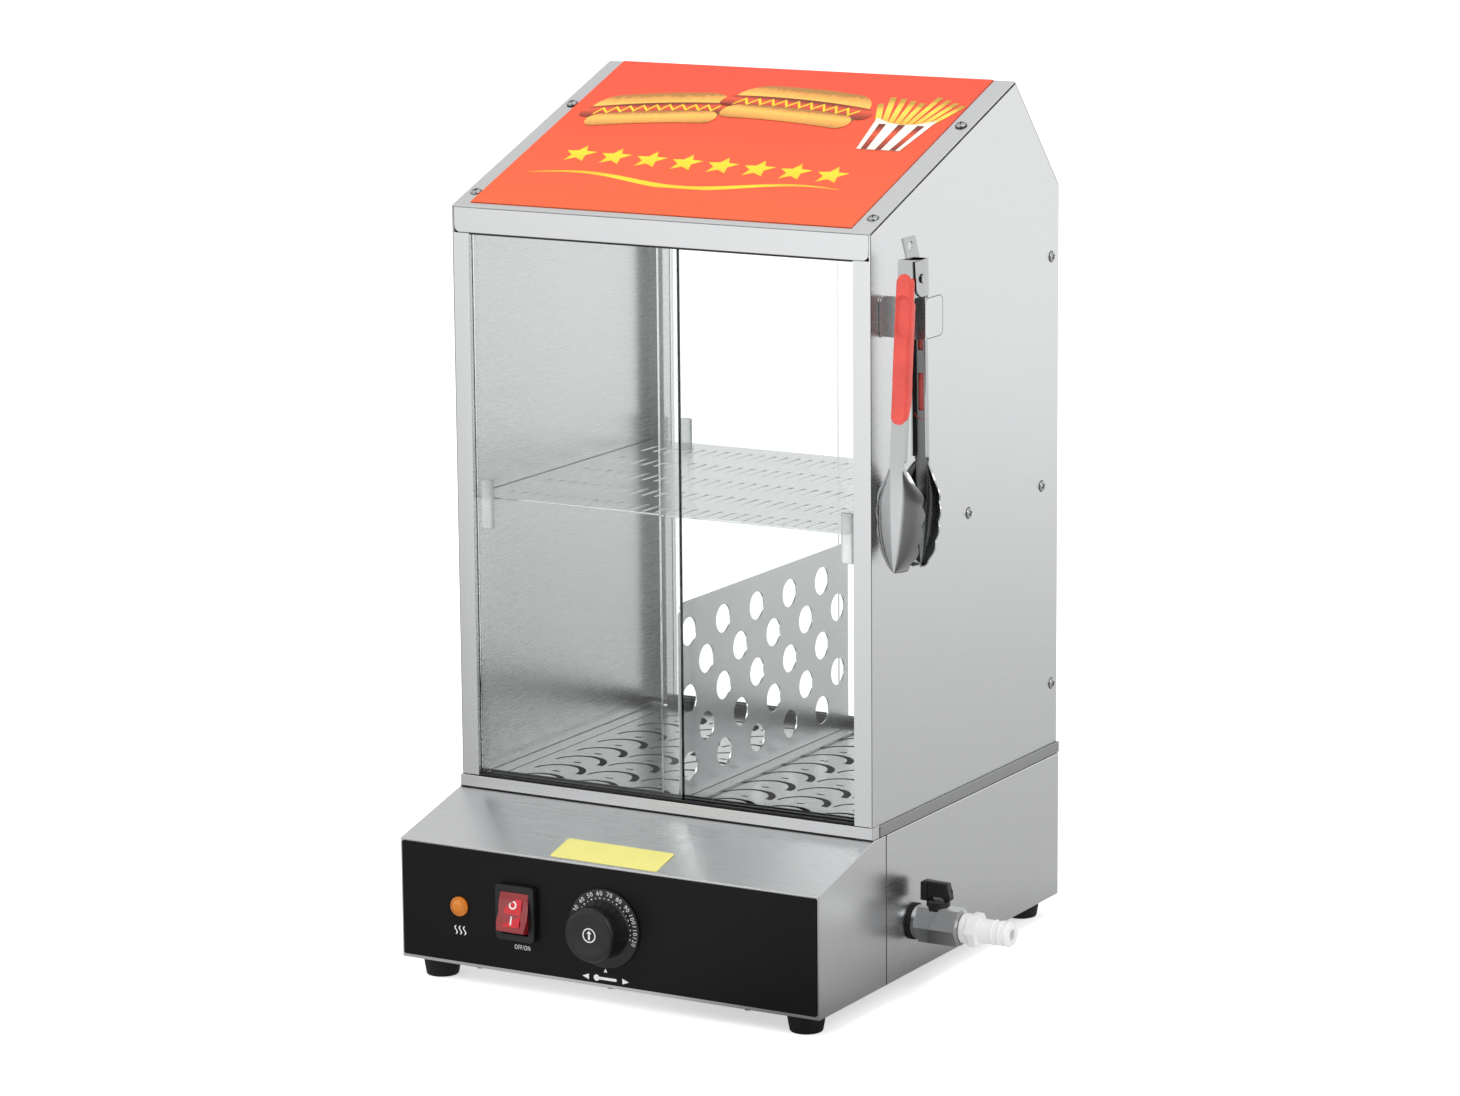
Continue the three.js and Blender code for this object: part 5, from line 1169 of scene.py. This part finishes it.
class STEAMER_OT_joints(bpy.types.Operator):
    """Runs thin dark lines of painted shade where the sheets meet, and hems the base's upper edge"""

    bl_idname = "steamer.joints"
    bl_label = "Joint lines"

    def execute(self, context):
        # The near black lines are painted shade in the gaps and folds where sheets meet
        gap_shade = moulded_plastic("joint_painted_shade", "#161616", 0.5, 0.7, 0.6, 0.1)
        # How far a line stands out, and its width
        proud, wide = 0.04 * MM, 0.85 * MM
        self.cabinet(gap_shade, proud, wide)
        self.hems(context.scene.steamer_colours.steel)
        # A thin dark ring round the bracket's lip is painted shade along its edge
        low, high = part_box("tong_bracket")
        tall = high.z - low.z
        cut = pierced(rounded(25 * MM, tall, 4.5 * MM), [rounded(24.1 * MM, tall - 0.9 * MM, 4.1 * MM)],
                      0.06 * MM, on_right(high.x, high.y - 12.5 * MM, low.z + tall / 2))
        keep("bracket_lip_edge_shade", cut, brushed_steel("stainless_lip_edge_shade", "#5E5F60", "Y", 0.35, 0.5),
             "cabinet", "sheet_steel")
        # Dark lines along the divider's fold at its foot are painted shade
        low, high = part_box("tray_divider")
        top = low.z + 1 * MM
        folds = [block((x, low.y, top), (x + 0.6 * MM, high.y, top + proud))
                 for x in (low.x + 1 * MM, high.x - 0.6 * MM)]
        keep("divider_fold_shade", merged(*folds), gap_shade, "divider", "black_plastic")
        for side in ("left", "right"):
            # Dark lines along each tray's left and right edges are painted shade
            low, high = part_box(f"{side}_food_tray")
            rims = [block((x, low.y, high.z), (x + wide, high.y, high.z + proud))
                    for x in (low.x, high.x - wide)]
            keep(f"{side}_tray_edge_shade", merged(*rims), gap_shade, f"{side}_tray", "black_plastic")
        return {"FINISHED"}

    def cabinet(self, gap_shade, proud, wide):
        """Lines of painted shade down the front corners, under the sill, along the roof's edges and at the
        base's seam.
        """
        left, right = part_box("left_side_panel")[0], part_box("right_side_panel")[1]
        sill_low, sill_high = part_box("front_sill")
        roof_low, roof_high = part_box("roof_panel_front")
        base_low, base_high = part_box("base_body")
        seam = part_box("control_housing")[1].y
        front, header_top, half = left.y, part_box("front_header")[1].z, 0.5 * MM
        lines = [block(low, high) for low, high in (
            ((right.x, front, sill_high.z), (right.x + proud, front + wide, header_top)),
            ((left.x - proud, front, sill_high.z), (left.x, front + wide, header_top)),
            ((sill_low.x, sill_low.y - 2 * proud, sill_low.z - 0.2 * MM),
             (sill_high.x, sill_low.y + 0.3 * MM, sill_low.z + 0.4 * MM)),
            ((base_high.x - half, seam - 0.15 * MM, base_low.z),
             (base_high.x + proud, base_low.y + 0.15 * MM, base_high.z)),
            ((base_low.x, seam, base_low.z), (base_low.x + half, base_low.y, base_high.z)))]
        run = roof_high.y - front
        climb = run * (roof_high.z - roof_low.z - 0.94 * MM) / (roof_high.y - roof_low.y)
        edge = [(0, -0.9 * MM), (run, climb - 0.9 * MM), (run, climb + 0.1 * MM), (0, 0.1 * MM)]
        mirrored = matrix((0, 0, -1, left.x), (1, 0, 0, front), (0, 1, 0, roof_low.z))
        lines += [prism(edge, proud, place) for place in (on_right(right.x, front, roof_low.z), mirrored)]
        keep("joint_lines", merged(*lines), gap_shade, "cabinet", "black_plastic")

    def hems(self, steel):
        low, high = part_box("base_body")
        bright = brushed_steel("stainless_hem_polished", steel, "Y", 0.12, 0.22)
        hems = [prism(ring(0.8 * MM, 16), high.y - low.y - 2 * MM,
                      matrix((1, 0, 0, x), (0, 0, 1, low.y + 1 * MM), (0, 1, 0, high.z - 0.8 * MM)))
                for x in (low.x + 0.8 * MM, high.x - 0.6 * MM)]
        keep("base_hems", merged(*hems), bright, "cabinet", "sheet_steel", (), 60)


class STEAMER_OT_fittings(bpy.types.Operator):
    """Finishes the heater, its terminals, the thermostat bulb and the cable gland"""

    bl_idname = "steamer.fittings"
    bl_label = "Fittings"

    def execute(self, context):
        repaint(["heating_element"], brushed_steel("incoloy_sheath_drawn", "#77787A", "Y", 0.35, 0.5))
        repaint(["thermostat_bulb"], brushed_steel("copper_drawn", "#B87346", "Y", 0.2, 0.35))
        repaint(["terminal_block"], moulded_plastic("ceramic_filled_moulded", "#E2DED2", 0.5, 0.6, 0.7, 0.2))
        black = moulded_plastic("nylon_gland_moulded", context.scene.steamer_colours.black_plastic,
                                0.35, 0.5, 0.5, 0.1)
        low, _, middle = box("cable_gland")
        place = matrix((1, 0, 0, middle.x), (0, 0, 1, low.y), (0, -1, 0, middle.z))
        sleeve = turned(mm([(3.4, 0), (7.6, 0), (7.6, 10.2), (9.8, 10.2), (9.8, 17), (9.4, 19), (8, 22),
                            (6.6, 23.6), (5.8, 24), (4.2, 24), (3.4, 23)]), place, 48, True)
        nut = hexagon(11.9, 10.4, 5.4, place, 0.6)
        keep("gland_nut", merged(sleeve, nut), black, "cabinet", "black_plastic", ["cable_gland"])
        return {"FINISHED"}


# How bright reflections see the floor, how much the eye's view of it is lifted, how far its greys reach,
# and where the camera stands, as a direction from the object
MIRROR_GAIN, PAPER_LIFT, GREY_REACH = 1.35, 0.55, 4.0
TOWARDS_CAMERA = (0.487, -0.851, 0.199)


class STEAMER_OT_stage(bpy.types.Operator):
    """Sets the floor, the lamps and the camera"""

    bl_idname = "steamer.stage"
    bl_label = "Studio"

    def execute(self, context):
        scene = context.scene
        scene.view_settings.view_transform = "Standard"
        self.floor()
        self.world(scene)
        self.lamps()
        self.camera(scene)
        return {"FINISHED"}

    def floor(self):
        bm = bmesh.new()
        bmesh.ops.create_grid(bm, x_segments=1, y_segments=1, size=9)
        mesh = bpy.data.meshes.new("studio_floor")
        bm.to_mesh(mesh)
        bm.free()
        put("studio_floor", mesh)
        material, tree, shader = blank_material("white_seamless_paper", Roughness=0.9,
                                                Base_Color=linear("#FFFFFF"), Specular_IOR_Level=0.0)
        # Reflections see the floor with painted shade: grey near the object for its shadow, bright far off
        # and dark towards the camera's room; glass sees the same with white behind the object
        place = add_node(tree, "TexCoord").outputs["Object"]
        reach = add_node(tree, "VectorMath", operation="LENGTH", links={0: place})
        near = self.levels(tree, reach.outputs["Value"], 0.0, GREY_REACH, (
            (0.03, 0.08), (0.05, 0.42), (0.08, 0.56), (0.21, 0.62), (0.29, 0.68), (0.47, 0.84), (0.67, 1)))
        parts = add_node(tree, "SeparateXYZ", links={"Vector": place})
        bearing = add_node(tree, "Math", operation="ARCTAN2",
                           links={0: parts.outputs["Y"], 1: parts.outputs["X"]})
        around, behind = (self.levels(tree, bearing.outputs["Value"], -pi, pi, stops) for stops in (
            ((0.05, 0.6), (0.145, 0.6), (0.159, 0.72), (0.172, 0.9), (0.231, 0.96), (0.29, 0.25),
             (0.36, 0.22), (0.45, 0.74), (0.5, 0.74)),
            ((0.77, 0), (0.79, 1), (0.89, 1), (0.92, 0))))
        shaded = add_node(tree, "Mix", data_type="RGBA", blend_type="MULTIPLY", inputs={0: 1.0},
                          links={6: near, 7: around}).outputs[2]
        both = add_node(tree, "Mix", data_type="RGBA", blend_type="LIGHTEN", inputs={0: 1.0},
                        links={6: shaded, 7: behind}).outputs[2]
        mirrored, through = (
            add_node(tree, "Emission", links={"Color": tone}, inputs={"Strength": MIRROR_GAIN}).outputs[0]
            for tone in (shaded, both))
        # The eye sees the paper lit by the lamps and lifted to white
        lift = add_node(tree, "Emission", inputs={"Color": (1, 1, 1, 1), "Strength": PAPER_LIFT})
        paper = last = shader.outputs["BSDF"]
        seen = add_node(tree, "AddShader", links={0: paper, 1: lift.outputs["Emission"]}).outputs["Shader"]
        ray = add_node(tree, "LightPath")
        for kind, seen_as in (("Camera", seen), ("Glossy", mirrored), ("Transmission", through)):
            last = add_node(tree, "MixShader", links={
                0: ray.outputs[f"Is {kind} Ray"], 1: last, 2: seen_as}).outputs["Shader"]
        tree.links.new(last, tree.nodes["Material Output"].inputs["Surface"])
        mesh.materials.append(material)

    def levels(self, tree, source, start, end, stops):
        """Grey levels along a value's range; each stop is its share of the range and its level."""
        share = add_node(tree, "MapRange", links={"Value": source},
                         inputs={"From Min": start, "From Max": end})
        greys = [(position, (level, level, level)) for position, level in stops]
        return add_node(tree, "ValToRGB", links={"Fac": share.outputs["Result"]},
                        stops=greys).outputs["Color"]

    def world(self, scene):
        world = bpy.data.worlds.new("studio_white")
        scene.world = world
        world.use_nodes = True
        tree = world.node_tree
        ray = add_node(tree, "LightPath")
        # Reflections see a dark room round the camera and a grey band above the backdrop; the eye sees white
        direction = add_node(tree, "TexCoord").outputs["Generated"]
        towards = add_node(tree, "VectorMath", operation="DOT_PRODUCT",
                           links={0: direction}, inputs={1: TOWARDS_CAMERA})
        room = add_node(tree, "MapRange", interpolation_type="SMOOTHSTEP",
                        links={"Value": towards.outputs["Value"]},
                        inputs={"From Min": 0.8, "From Max": 0.97, "To Min": 1.0, "To Max": 0.12})
        parts = add_node(tree, "SeparateXYZ", links={"Vector": direction})
        band = self.levels(tree, parts.outputs["Z"], 0.0, 1.0, (
            (0.22, 1), (0.4, 0.57), (0.6, 0.57), (0.72, 0.95), (1.0, 1)))
        dimmed = add_node(tree, "Math", operation="MULTIPLY",
                          links={0: room.outputs["Result"], 1: band})
        either = add_node(tree, "Math", operation="MAXIMUM",
                          links={0: ray.outputs["Is Glossy Ray"], 1: ray.outputs["Is Transmission Ray"]})
        glossy = add_node(tree, "Mix", data_type="FLOAT", inputs={"A": 0.62},
                          links={"Factor": either.outputs["Value"], "B": dimmed.outputs["Value"]})
        background = tree.nodes["Background"]
        background.inputs["Color"].default_value = (1, 1, 1, 1)
        add_node(tree, "Mix", data_type="FLOAT", inputs={"B": 1.0}, feeds=background.inputs["Strength"],
                 links={"Factor": ray.outputs["Is Camera Ray"], "A": glossy.outputs["Result"]})

    def lamps(self):
        for name, place, size, power in (
                ("softbox_left", (-1.7, -1.9, 2.0), 1.6, 31),
                ("softbox_right", (2.1, -0.9, 1.7), 1.4, 12),
                ("softbox_top", (0.0, 0.4, 2.6), 1.8, 20)):
            lamp = bpy.data.lights.new(name, "AREA")
            lamp.shape = "SQUARE"
            lamp.size = size
            lamp.energy = power
            holder = put(name, lamp)
            # Only the right lamp shows in reflections: the others would wash out the sloping steel
            holder.visible_glossy = name == "softbox_right"
            aim = Vector((0, 0, 0.3)) - Vector(place)
            turn = aim.to_track_quat("-Z", "Y").to_matrix().to_4x4()
            holder.matrix_world = Matrix.Translation(place) @ turn

    def camera(self, scene):
        """The photograph's camera, as it was fitted to the edges of the steamer."""
        data = bpy.data.cameras.new("photo_camera")
        data.sensor_width = 36
        data.lens = 122.77
        data.clip_start, data.clip_end = 0.1, 60
        camera = put("photo_camera", data)
        camera.matrix_world = matrix(
            (0.86873209, -0.09145536, 0.48676532, 1.624317),
            (0.49521505, 0.17658818, -0.85063427, -2.904512),
            (-0.00816194, 0.9800268, 0.19869789, 0.960633))
        scene.camera = camera


class STEAMER_PT_panel(bpy.types.Panel):
    """Lists the steps that dress the steamer"""

    bl_label = "Hot Dog Steamer"
    bl_idname = "STEAMER_PT_panel"
    bl_space_type = "VIEW_3D"
    bl_region_type = "UI"
    bl_category = "Steamer"

    def draw(self, context):
        for group in (context.scene.steamer_sizes, context.scene.steamer_colours):
            section = self.layout.box()
            for key in group.__annotations__:
                section.prop(group, key)
        for step in STEPS:
            self.layout.operator(step.bl_idname)


STEPS = (
    STEAMER_OT_stage,
    STEAMER_OT_sheet_metal,
    STEAMER_OT_inner_sheets,
    STEAMER_OT_glass_doors,
    STEAMER_OT_feet,
    STEAMER_OT_control_panel,
    STEAMER_OT_dial,
    STEAMER_OT_sticker,
    STEAMER_OT_roof_print,
    STEAMER_OT_drain,
    STEAMER_OT_tongs,
    STEAMER_OT_screws,
    STEAMER_OT_joints,
    STEAMER_OT_fittings,
)
CLASSES = (SteamerSizes, SteamerColours, *STEPS, STEAMER_PT_panel)


def register():
    for cls in CLASSES:
        bpy.utils.register_class(cls)
    bpy.types.Scene.steamer_sizes = bpy.props.PointerProperty(type=SteamerSizes)
    bpy.types.Scene.steamer_colours = bpy.props.PointerProperty(type=SteamerColours)


def unregister():
    del bpy.types.Scene.steamer_colours
    del bpy.types.Scene.steamer_sizes
    for cls in reversed(CLASSES):
        bpy.utils.unregister_class(cls)


def main():
    register()
    for step in STEPS:
        group, name = step.bl_idname.split(".")
        getattr(getattr(bpy.ops, group), name)()


if __name__ == "__main__":
    main()
